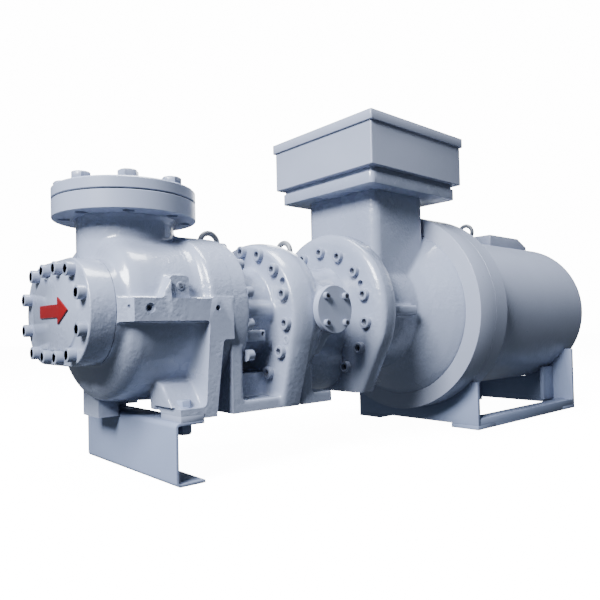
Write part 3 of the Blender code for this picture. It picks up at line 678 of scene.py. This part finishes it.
def inlet_flange():
    """Round flange on the casing's neck, its bolt holes open below."""
    edge = 0.0015
    profile = [(FLANGE_BOTTOM, NECK_RADIUS - 0.002), (FLANGE_BOTTOM, FLANGE_RADIUS - edge),
               (FLANGE_BOTTOM + edge, FLANGE_RADIUS), (FLANGE_TOP - edge, FLANGE_RADIUS),
               (FLANGE_TOP, FLANGE_RADIUS - edge)]
    thing = Shape().turned(along_z, INLET_AXIS, profile, 160).object("inlet_flange_ring")
    holes = Shape()
    for i in range(INLET_BOLTS):
        x, y = on_inlet(i)
        holes.cylinder(along_z, (x, y), 0.0125, FLANGE_BOTTOM - 0.02, FLANGE_BOTTOM + 0.030, 32)
    machined(thing, holes)
    finished(thing, smooth_enamel)


def on_inlet(index):
    """Plan position of a bolt of the inlet flange."""
    angle = 2 * math.pi * (index + 0.5) / INLET_BOLTS
    return INLET_AXIS[0] + INLET_BOLT_CIRCLE * math.cos(angle), INLET_BOLT_CIRCLE * math.sin(angle)


def inlet_blind():
    """Blank over the inlet, with its gasket and bolts."""
    edge = 0.0015
    start = FLANGE_TOP + 0.0022
    profile = [(start, FLANGE_RADIUS - edge), (start + edge, FLANGE_RADIUS),
               (BLIND_TOP - 2 * edge, FLANGE_RADIUS), (BLIND_TOP, FLANGE_RADIUS - 2 * edge)]
    thing = Shape().turned(along_z, INLET_AXIS, profile, 160).object("inlet_blind_plate")
    finished(thing, smooth_enamel, ["inlet_blind_flange"])
    lap = 0.0002
    gasket = Shape().cylinder(along_z, INLET_AXIS, FLANGE_RADIUS - 0.0035, FLANGE_TOP - lap, start + lap, 128)
    finished(gasket.object("inlet_gasket_ring"), gasket_sheet, ["inlet_gasket"])
    head = hex_head(0.036, 0.0155)
    bolts = Shape()
    for i in range(INLET_BOLTS):
        bolts.stamp(head, (*on_inlet(i), BLIND_TOP - 0.0002), (0, 0, 1), 0.35 + i * 0.61)
    finished(bevelled(bolts.object("inlet_bolts"), 0.0006), screw_enamel)


def front_cover():
    """Oblong cover with a rounded rim, a low pad and its ring of screws."""
    rim = 0.0035
    sections = []
    for step in range(5):
        angle = math.radians(90 * step / 4)
        inset = rim * (1 - math.sin(angle))
        x = COVER_FACE_X + rim * (1 - math.cos(angle))
        sections.append((x, racetrack(BORE_HALF_SPACING, BAND_RADIUS - inset)))
    sections += [(BAND_X - 0.0016, racetrack(BORE_HALF_SPACING, BAND_RADIUS)),
                 (BAND_X - 0.0004, racetrack(BORE_HALF_SPACING, BAND_RADIUS - 0.0012))]
    thing = Shape().loft(along_x, sections).object("cover_plate")
    slope = ((-0.003, 0.0775), (0.0, 0.0765), (0.0012, 0.0742), (0.003, 0.0728), (PAD_HEIGHT, 0.0712))
    pad = [(COVER_FACE_X - depth, racetrack(0.050, radius)) for depth, radius in slope]
    machined(thing, Shape().loft(along_x, pad), "UNION")
    finished(thing, cast_enamel, ["front_cover"], sharp=40)

    head = socket_head(COVER_HEAD_RADIUS, COVER_FACE_X - COVER_HEAD_X, 0.014, 0.011)
    screws = Shape()
    for index, (y, z) in enumerate(cover_screw_places()):
        screws.stamp(head, (COVER_FACE_X + 0.0001, y, z), (-1, 0, 0), index * 0.7)
    finished(screws.object("cover_screws"), [screw_enamel, socket_painted_shade])


def cover_screw_places():
    """Four screws along each long side of the cover, two round each end."""
    places = []
    for y_sign in (-1, 1):
        for z_sign in (-1, 1):
            places.append((y_sign * 0.034, SHAFT_Z + z_sign * 0.0865))
            places.append((y_sign * 0.098, SHAFT_Z + z_sign * 0.080))
            places.append((y_sign * 0.149, SHAFT_Z + z_sign * 0.033))
    return places


def arrow_plate():
    """Plain red arrow on the cover's pad."""
    face = COVER_FACE_X - PAD_HEIGHT
    z = SHAFT_Z + 0.004
    tail, head, tip = 0.070, -0.030, -0.082
    outline = [(tail, z - 0.013), (head, z - 0.013), (head, z - 0.027), (tip, z),
               (head, z + 0.027), (head, z + 0.013), (tail, z + 0.013)]
    thing = Shape().prism(along_x, outline, face - 0.0033, face + 0.0002).object("direction_arrow")
    finished(bevelled(thing, 0.0009, 3), arrow_red, ["flow_arrow_plate"])


def bearing_housing():
    """Casting between the casing and the drive-end housing, with the screws on both its flanges."""
    shape = Shape()
    front = arch(0.0, CASING_HALF_WIDTH, CASING_TOP_RISE, CASING_HALF_WIDTH)
    shape.prism(along_x, front, CASING_END_X - OVER, BEARING_FLANGE_END_X)
    shape.cylinder(along_x, MOTOR_AXIS, 0.104, 0.12, 0.262, 96)
    shape.cylinder(along_x, (-MOTOR_Y, SHAFT_Z), 0.092, 0.12, 0.196, 96)
    shape.cylinder(along_x, (-0.163, 0.334), 0.025, 0.12, 0.262, 48)
    shape.bar((0.130, -0.190, 0.268), (0.205, -0.120, 0.294))
    shape.turned(along_z, (0.186, 0.0), [(0.340, 0.034), (0.420, 0.030), (0.474, 0.026)], 48)
    face, bottom = BEARING_FACE_X, HOUSING_FOOT_BOTTOM - OVER
    rings = ((face, 0.171, 0.123), (face + 0.002, 0.174, 0.125), (face + 0.009, 0.1775, 0.127),
             (face + 0.020, 0.1805, 0.127), (face + 0.034, 0.182, 0.127),
             (BEARING_END_X + OVER, 0.182, 0.127))
    shape.loft(along_x, [
        (x, footed(HOUSING_AXIS, radius, half_foot, bottom, HOUSING_RISE)) for x, radius, half_foot in rings
    ])
    for low_y, high_y in HOUSING_FEET:
        shape.bar((CASING_END_X - OVER, low_y, bottom), (0.135, high_y, 0.262))
        shape.bar((CASING_END_X - OVER, low_y, bottom), (0.275, high_y, HOUSING_FOOT_TOP))
    shape.bar((0.118, -0.155, 0.138), (0.258, 0.010, 0.200))
    housing = cast("bearing_casting", shape, softness=6)

    sliced(housing, (CASING_END_X + GAP, 0, 0), (-1, 0, 0))
    sliced(housing, (BEARING_END_X, 0, 0), (1, 0, 0))
    sliced(housing, (0, 0, HOUSING_FOOT_BOTTOM), (0, 0, -1))
    machined(housing, Shape().bar((0.150, -0.05, 0.466), (0.225, 0.05, 0.52)))
    ports = Shape()
    hole = on_circle(HOUSING_AXIS, 0.159, 28.6)
    ports.cylinder(along_x, hole, 0.0085, BEARING_FACE_X - 0.03, BEARING_FACE_X + 0.02, 32)
    ports.turned(along_y, (0.196, 0.285), [(-0.23, 0.0045), (-0.175, 0.0045)], 24)
    machined(housing, ports)
    finished(housing, cast_enamel, ["bearing_housing"], sharp=38)

    screws = Shape()
    large = socket_head(0.0138, 0.0125, 0.0140, 0.0090)
    for k in range(BEARING_SCREWS):
        y, z = on_circle(HOUSING_AXIS, BEARING_SCREW_CIRCLE, -54 + SCREW_PITCH_DEGREES * k)
        screws.stamp(large, (BEARING_FACE_X + 0.0006, y, z), (-1, 0, 0), k * 0.9)
    small = socket_head(0.0125, 0.0165, 0.0125, 0.010)
    for y, z in CASING_SCREWS:
        for side in (1, -1):
            screws.stamp(small, (BEARING_FLANGE_END_X - 0.0028, side * y, z), (1, 0, 0), y * 40)
    finished(screws.object("bearing_screws"), [screw_enamel, socket_painted_shade])
    place = (BEARING_FACE_X + 0.0004, *on_circle(HOUSING_AXIS, 0.156, -19.1))
    plug = Shape().stamp(socket_head(0.0105, 0.0014, 0.0080, 0.0010), place, (-1, 0, 0))
    finished(plug.object("bearing_plug"), [smooth_enamel, smooth_enamel])


def bearing_cap():
    """Round cap over the bearing of the rotor that isn't driven."""
    profile = [(0.1958, 0.0405), (0.2105, 0.0405), (0.2135, 0.0385), (0.215, 0.0360)]
    thing = Shape().turned(along_x, (-MOTOR_Y, SHAFT_Z), profile, 96).object("bearing_cap")
    finished(thing, smooth_enamel, ["second_bearing_cap"])


def oblong(grow=0.0, count=120):
    """Upright oblong section of the neck."""
    points = []
    for i in range(count):
        angle = 2 * math.pi * i / count
        across, up = math.cos(angle), math.sin(angle)
        power = 2 / 2.3
        y = (0.082 + grow) * math.copysign(abs(across) ** power, across)
        z = ((0.112 if up > 0 else 0.136) + grow) * math.copysign(abs(up) ** power, up)
        points.append((MOTOR_Y + y, SHAFT_Z + z))
    return points


def flange_section(radius):
    """Section of the flange that the motor is bolted to."""
    return footed(MOTOR_AXIS, radius, radius * 0.6, MOTOR_FLANGE_BOTTOM)


def drive_housing():
    """Drive-end casting, the flange that the motor bolts to and its screws."""
    shape = Shape()
    rims = ((BEARING_END_X - OVER, 0.182, 0.176), (0.2855, 0.182, 0.176), (0.300, 0.179, 0.1747),
            (0.312, 0.1735, 0.172), (0.322, 0.168, 0.1706), (0.332, 0.160, 0.169), (0.3375, 0.155, 0.168),
            (0.340, 0.150, 0.166))
    shape.loft(along_x, [(x, oval(HOUSING_AXIS, wide, rise)) for x, wide, rise in rims])
    neck = [(0.310, oblong()), (0.468, oblong()), (0.482, oblong(0.003)), (0.4915, oblong(0.008))]
    shape.loft(along_x, neck)
    shape.cylinder(along_x, SUMP_AXIS, 0.072, 0.322, DRIVE_FACE_X + 0.003, 96)
    port_back = PORT_FACE_Y + PORT_PLATE
    shape.cylinder(along_y, PORT_AXIS, 0.043, port_back - OVER, -0.110, 72)
    hood = Shape().turned(along_y, PORT_AXIS, [(-0.245, 0.043), (-0.150, 0.090)], 72).object("hood")
    sliced(hood, (0.302, 0, 0), (-1, 0, 0))
    sliced(hood, (0, 0, SHAFT_Z), (0, 0, -1))
    shape.stamp(hood.data, (0, 0, 0), (0, 0, 1))
    bpy.data.objects.remove(hood, do_unlink=True)
    gusset = [(0.305, 0.305), (0.378, 0.305), (0.374, 0.285), (0.330, 0.236), (0.305, 0.236)]
    shape.prism(along_y, gusset, -0.226, -0.140)
    bottom = HOUSING_FOOT_BOTTOM - OVER
    for low_y, high_y in HOUSING_FEET:
        shape.bar((0.297, low_y, bottom), (0.331, high_y, 0.270))
        shape.bar((0.297, low_y, bottom), (0.393, high_y, HOUSING_FOOT_TOP))
    housing = cast("drive_casting", shape, softness=6)

    sliced(housing, (BEARING_END_X + GAP, 0, 0), (-1, 0, 0))
    machined(housing, Shape().bar((0.25, -0.3, 0.08), (0.42, 0.2, HOUSING_FOOT_BOTTOM)))
    sliced(housing, (0, port_back + GAP, 0), (0, -1, 0))
    finished(housing, cast_enamel, ["drive_end_housing"], sharp=38)

    face, rise = DRIVE_FACE_X, MOTOR_FLANGE_RADIUS - DRIVE_FACE_RADIUS
    rings = []
    for step in range(13):
        angle = math.pi / 2 * step / 12
        x = face + (MOTOR_SEAM_X - 0.0008 - face) * (1 - math.cos(angle))
        rings.append((x, flange_section(DRIVE_FACE_RADIUS + rise * math.sin(angle))))
    flange = Shape().loft(along_x, rings).object("motor_flange")
    hole = on_circle(MOTOR_SCREW_AXIS, 0.159, 27.0)
    machined(flange, Shape().cylinder(along_x, hole, 0.0085, 0.47, 0.503, 32))
    finished(flange, cast_enamel, sharp=38)

    screws = Shape()
    large = socket_head(0.0145, 0.0125, 0.0145, 0.0090)
    for k in range(MOTOR_SCREWS):
        y, z = on_circle(MOTOR_SCREW_AXIS, MOTOR_SCREW_CIRCLE, -56.4 + SCREW_PITCH_DEGREES * k)
        screws.stamp(large, (DRIVE_FACE_X + 0.0004, y, z), (-1, 0, 0), k * 1.1)
    finished(screws.object("motor_flange_screws"), [screw_enamel, socket_painted_shade])


def side_port():
    """Round cover on the side port, with its four screws."""
    edge = 0.0012
    back = PORT_FACE_Y + PORT_PLATE
    profile = [(PORT_FACE_Y, PORT_RADIUS - edge), (PORT_FACE_Y + edge, PORT_RADIUS),
               (back - edge, PORT_RADIUS), (back, PORT_RADIUS - edge)]
    thing = Shape().turned(along_y, PORT_AXIS, profile, 128).object("side_port_plate")
    finished(thing, smooth_enamel, ["side_port_cover"])
    screws = Shape()
    head = socket_head(0.0078, 0.0085, 0.0080, 0.0058)
    for u in (-PORT_SCREW_OFFSET, PORT_SCREW_OFFSET):
        for v in (-PORT_SCREW_OFFSET, PORT_SCREW_OFFSET):
            place = (PORT_AXIS[0] + u, PORT_FACE_Y + 0.0002, PORT_AXIS[1] + v)
            screws.stamp(head, place, (0, -1, 0), u * 30 + v * 9)
    finished(screws.object("side_port_screws"), [screw_enamel, socket_painted_shade])


def shield_and_duct():
    """End shield of the motor: bolted flange, waisted neck, cone, side lugs and the cable duct."""
    shape = Shape()
    cone = [(0.520, 0.190), (0.541, 0.190), (0.552, 0.174), (0.575, 0.160), (0.690, 0.160), (0.720, 0.180),
            (0.768, 0.224), (RING_X - 0.002, CONE_RADIUS), (RING_X + OVER, CONE_RADIUS)]
    shape.turned(along_x, MOTOR_AXIS, cone, 160)
    for side in (-1, 1):
        low_y, high_y = sorted((MOTOR_Y + side * 0.100, MOTOR_Y + side * 0.182))
        shape.bar((0.530, low_y, 0.322), (0.660, high_y, 0.348))
    duct = rounded_rectangle((0.560, -0.200), (0.775, 0.054), 0.026)
    shape.prism(along_z, duct, 0.400, DUCT_TOP + OVER)
    shield = cast("shield_casting", shape, grain=0.0037)
    sliced(shield, (RING_X - GAP, 0, 0), (1, 0, 0))
    sliced(shield, (0, 0, DUCT_TOP), (0, 0, 1))
    finished(shield, cast_enamel, ["motor_end_shield", "terminal_duct"], sharp=38)
    edge = 0.0006
    rings = [(MOTOR_SEAM_X, flange_section(MOTOR_FLANGE_RADIUS - edge)),
             (MOTOR_SEAM_X + edge, flange_section(MOTOR_FLANGE_RADIUS)),
             (MOTOR_FLANGE_END_X - 0.004, flange_section(MOTOR_FLANGE_RADIUS)),
             (MOTOR_FLANGE_END_X - 0.001, flange_section(MOTOR_FLANGE_RADIUS - 0.0015)),
             (MOTOR_FLANGE_END_X, flange_section(MOTOR_FLANGE_RADIUS - 0.004))]
    finished(Shape().loft(along_x, rings).object("shield_flange"), cast_enamel)


def motor_frame():
    """Stout ring with a turned seam, the rolled shell and the rear cover."""
    seam_x = 0.868
    ring = [(RING_X, RING_RADIUS - 0.002), (RING_X + 0.0006, RING_RADIUS - 0.0006),
            (RING_X + 0.002, RING_RADIUS), (seam_x, RING_RADIUS), (seam_x + 0.0005, RING_RADIUS - 0.0008),
            (seam_x + 0.001, RING_RADIUS), (RING_END_X - 0.004, RING_RADIUS),
            (RING_END_X, RING_RADIUS - 0.004)]
    thing = Shape().turned(along_x, MOTOR_AXIS, ring, 192).object("frame_ring")
    finished(thing, sheet_enamel, ["motor_ring"])
    shell = [(RING_END_X - 0.001, SHELL_RADIUS), (SHELL_END_X - 0.003, SHELL_RADIUS),
             (SHELL_END_X, SHELL_RADIUS - 0.003)]
    thing = Shape().turned(along_x, MOTOR_AXIS, shell, 192).object("frame_shell")
    finished(thing, sheet_enamel, ["motor_shell"])
    rear = [(SHELL_END_X, 0.222), (END_COVER_X - 0.004, 0.222), (END_COVER_X - 0.001, 0.219),
            (END_COVER_X, 0.216), (END_COVER_X, 0.120), (END_COVER_X - 0.002, 0.118),
            (END_COVER_X - 0.002, 0.050), (END_COVER_X, 0.048)]
    thing = Shape().turned(along_x, MOTOR_AXIS, rear, 160).object("rear_cover_plate")
    finished(thing, sheet_enamel, ["motor_rear_cover"])


def top_housing():
    """Flat-topped housing along the top of the shell."""
    outline = [(1.222, 0.540), (1.222, 0.598), (1.410, 0.598), (1.470, 0.572), (1.470, 0.540)]
    thing = Shape().prism(along_y, outline, MOTOR_Y - 0.070, MOTOR_Y + 0.070).object("top_housing")
    bevelled(thing, 0.004, 3)
    finished(thing, sheet_enamel, ["shell_top_housing"])


def inset_box(inset, corner):
    """Plan of the terminal box, drawn in from the lid's edge."""
    low = (BOX_LOW[0] + inset, BOX_LOW[1] + inset)
    high = (BOX_HIGH[0] - inset, BOX_HIGH[1] - inset)
    return rounded_rectangle(low, high, corner)


def terminal_pieces():
    """Base plate, box and lid."""
    plate = Shape().prism(along_z, inset_box(0.018, 0.014), 0.650, PLATE_TOP)
    thing = bevelled(plate.object("terminal_plate"), 0.0015)
    finished(thing, cast_enamel, ["terminal_base_plate"])
    foot, lower_edge, wall = inset_box(0.024, 0.006), inset_box(0.0075, 0.004), inset_box(0.006, 0.004)
    sections = [(PLATE_TOP + GAP, foot), (0.691, foot), (0.6912, lower_edge), (0.6927, wall),
                (LID_BOTTOM - 0.0002, wall)]
    case = Shape().loft(along_z, sections).object("terminal_case")
    finished(case, sheet_enamel, ["terminal_box"])
    lid = Shape().prism(along_z, inset_box(0.0, 0.005), LID_BOTTOM, LID_TOP).object("terminal_cover")
    finished(bevelled(lid, 0.0015), sheet_enamel, ["terminal_lid"])


def motor_base():
    """Welded base: two hollowed cross plates, four pads, two rails and two ribs."""
    lift = BASE_PLATE + GAP
    rear_plate_x = BASE_REAR_X - BASE_PLATE
    shape = Shape()
    plates = ((BASE_FRONT_X, RING_RADIUS + GAP, 0.134), (rear_plate_x, SHELL_RADIUS + GAP, 0.203))
    for start, radius, shoulder in plates:
        outline = [(BASE_NEAR_Y, lift), (BASE_FAR_Y, lift), (BASE_FAR_Y, shoulder)]
        half_turn = math.acos((SHAFT_Z - shoulder) / radius)
        for i in range(61):
            angle = half_turn * (1 - 2 * i / 60)
            outline.append((MOTOR_Y + radius * math.sin(angle), SHAFT_Z - radius * math.cos(angle)))
        outline.append((BASE_NEAR_Y, shoulder))
        shape.prism(along_x, outline, start, start + BASE_PLATE)
    finished(bevelled(shape.object("saddle_plates"), 0.0006), frame_enamel,
             ["base_front_saddle", "base_rear_saddle"])

    pads = Shape()
    names = []
    rear_pad_x = BASE_REAR_X - BASE_PAD_LENGTH
    for word, low_y in (("near", BASE_NEAR_Y), ("far", BASE_FAR_Y - BASE_PAD_WIDTH)):
        for end, x in (("front", BASE_FRONT_X), ("rear", rear_pad_x)):
            pads.bar((x, low_y, 0.0), (x + BASE_PAD_LENGTH, low_y + BASE_PAD_WIDTH, BASE_PLATE))
            names.append("base_%s_pad_%s" % (end, word))
    finished(bevelled(pads.object("base_pads"), 0.0008), frame_enamel, names)

    rails = Shape()
    start, end = BASE_FRONT_X + BASE_PLATE + GAP, rear_plate_x - GAP
    first, last = BASE_FRONT_X + BASE_PAD_LENGTH + GAP, rear_pad_x - GAP
    outline = [(start, lift), (first, lift), (first, 0.0), (last, 0.0), (last, lift), (end, lift),
               (end, RAIL_TOP), (start, RAIL_TOP)]
    for edge, inner in ((BASE_NEAR_Y, BASE_NEAR_Y + RAIL_WIDTH), (BASE_FAR_Y, BASE_FAR_Y - RAIL_WIDTH)):
        rails.prism(along_y, outline, edge, inner)
    finished(bevelled(rails.object("base_rails"), 0.0008), frame_enamel,
             ["base_rail_near", "base_rail_far"])

    ribs = Shape()
    half_rib = 0.006
    for y in (-0.221, 0.075):
        ribs.bar((1.395, y - half_rib, RAIL_TOP + GAP), (end, y + half_rib, 0.142))
    thing = ribs.object("base_ribs")
    machined(thing, Shape().cylinder(along_x, MOTOR_AXIS, SHELL_RADIUS + GAP, 1.3, 1.5, 128))
    finished(bevelled(thing, 0.0006), frame_enamel,
             ["base_rear_rib_near", "base_rear_rib_far"])


def eyebolts():
    """Rings on round collars; two of them stand across the shafts."""
    ring_radius, wire_radius, ring_height = 0.0245, 0.0065, 0.03645
    shape = Shape()
    places = (((0.186, 0.0, 0.4663), False), ((0.360, MOTOR_Y, 0.4473), True),
              ((1.184, MOTOR_Y, 0.5713), True))
    for (x, y, z), turned in places:
        made = bmesh.ops.create_circle(shape.bm, segments=20, radius=wire_radius)["verts"]
        bmesh.ops.translate(shape.bm, vec=(ring_radius, 0.0, 0.0), verts=made)
        before = set(shape.bm.verts) - set(made)
        edges = list({e for v in made for e in v.link_edges})
        bmesh.ops.spin(
            shape.bm, geom=made + edges, cent=(0, 0, 0), axis=(0, 1, 0), angle=2 * math.pi,
            steps=56, use_merge=True,
        )
        fresh = [v for v in shape.bm.verts if v not in before]
        bmesh.ops.remove_doubles(shape.bm, verts=fresh, dist=1e-6)
        fresh = [v for v in fresh if v.is_valid]
        if turned:
            quarter = Matrix.Rotation(math.pi / 2, 3, "Z")
            bmesh.ops.rotate(shape.bm, cent=(0, 0, 0), matrix=quarter, verts=fresh)
        bmesh.ops.translate(shape.bm, vec=(x, y, z + ring_height), verts=fresh)
        collar = [(z, 0.0155), (z + 0.005, 0.0155), (z + 0.0065, 0.0145), (z + 0.010, 0.0105),
                  (z + 0.0125, 0.0085)]
        shape.turned(along_z, (x, y), collar, 40)
    finished(shape.object("lifting_eyes"), eye_steel,
             ["bearing_housing_eyebolt", "drive_housing_eyebolt", "motor_eyebolt"])


def stage():
    """White surroundings for the camera; the object itself is lit by dimmer sky and soft lamps."""
    floor = Shape()
    made = bmesh.ops.create_grid(floor.bm, x_segments=1, y_segments=1, size=14.0)["verts"]
    bmesh.ops.translate(floor.bm, vec=(0.6, 0.0, -0.0002), verts=made)
    thing = floor.object("studio_floor")
    white = Finish("studio_white", 0.9)
    white.colour((0.90, 0.91, 0.92, 1.0))
    white.shader.inputs["Emission Color"].default_value = (1.0, 1.0, 1.0, 1.0)
    white.shader.inputs["Emission Strength"].default_value = 14.0
    thing.data.materials.append(white.material)
    thing.visible_diffuse = False
    thing.visible_glossy = False

    world = bpy.data.worlds.new("studio")
    world.use_nodes = True
    tree = world.node_tree
    sky = tree.nodes["Background"]
    sky.inputs["Color"].default_value = (0.74, 0.85, 1.0, 1.0)
    sky.inputs["Strength"].default_value = 0.17
    backdrop = tree.nodes.new("ShaderNodeBackground")
    backdrop.inputs["Color"].default_value = (1.0, 1.0, 1.0, 1.0)
    backdrop.inputs["Strength"].default_value = 15.0
    seen = tree.nodes.new("ShaderNodeLightPath")
    mix = tree.nodes.new("ShaderNodeMixShader")
    tree.links.new(seen.outputs["Is Camera Ray"], mix.inputs[0])
    tree.links.new(sky.outputs[0], mix.inputs[1])
    tree.links.new(backdrop.outputs[0], mix.inputs[2])
    tree.links.new(mix.outputs[0], tree.nodes["World Output"].inputs["Surface"])
    bpy.context.scene.world = world

    for name, place, target, size, power in (
        ("key", (-3.0, -1.2, 2.9), (0.2, 0.0, 0.3), 1.6, 640.0),
        ("top", (0.5, -0.1, 3.4), (0.5, 0.0, 0.3), 1.4, 210.0),
        ("rear", (3.4, 2.2, 2.0), (0.9, 0.0, 0.4), 1.6, 60.0),
    ):
        light = bpy.data.lights.new(name, "AREA")
        light.size = size
        light.energy = power
        light.color = (0.93, 0.96, 1.0)
        lamp = bpy.data.objects.new(name, light)
        lamp.location = place
        lamp.rotation_euler = (Vector(target) - Vector(place)).to_track_quat("-Z", "Y").to_euler()
        bpy.context.collection.objects.link(lamp)


def camera():
    """Stands where the photograph was taken from; angles in degrees, focal length in pixels."""
    yaw, pitch, roll = (math.radians(a) for a in (40.99, 1.26, -1.28))
    frame_width, focal, centre_x, centre_y = 600.0, 582.9, 289.4, 315.5
    ahead = Vector((math.sin(yaw) * math.cos(pitch), math.cos(yaw) * math.cos(pitch), math.sin(pitch)))
    level = ahead.cross(Vector((0, 0, 1))).normalized()
    upright = level.cross(ahead)
    right = level * math.cos(roll) + upright * math.sin(roll)
    up = upright * math.cos(roll) - level * math.sin(roll)
    data = bpy.data.cameras.new("camera")
    data.sensor_width = 36.0
    data.lens = data.sensor_width * focal / frame_width
    data.shift_x = (frame_width / 2 - centre_x) / frame_width
    data.shift_y = (centre_y - frame_width / 2) / frame_width
    data.clip_start = 0.01
    eye = bpy.data.objects.new("camera", data)
    turn = Matrix((right, up, -ahead)).transposed().to_4x4()
    eye.matrix_world = Matrix.Translation((-0.586, -1.178, 0.295)) @ turn
    bpy.context.collection.objects.link(eye)
    bpy.context.scene.camera = eye


camera()
stage()
support_channel()
foot_shims()
rotor_casing()
inlet_flange()
inlet_blind()
front_cover()
arrow_plate()
bearing_housing()
bearing_cap()
drive_housing()
side_port()
shield_and_duct()
motor_frame()
top_housing()
terminal_pieces()
motor_base()
eyebolts()
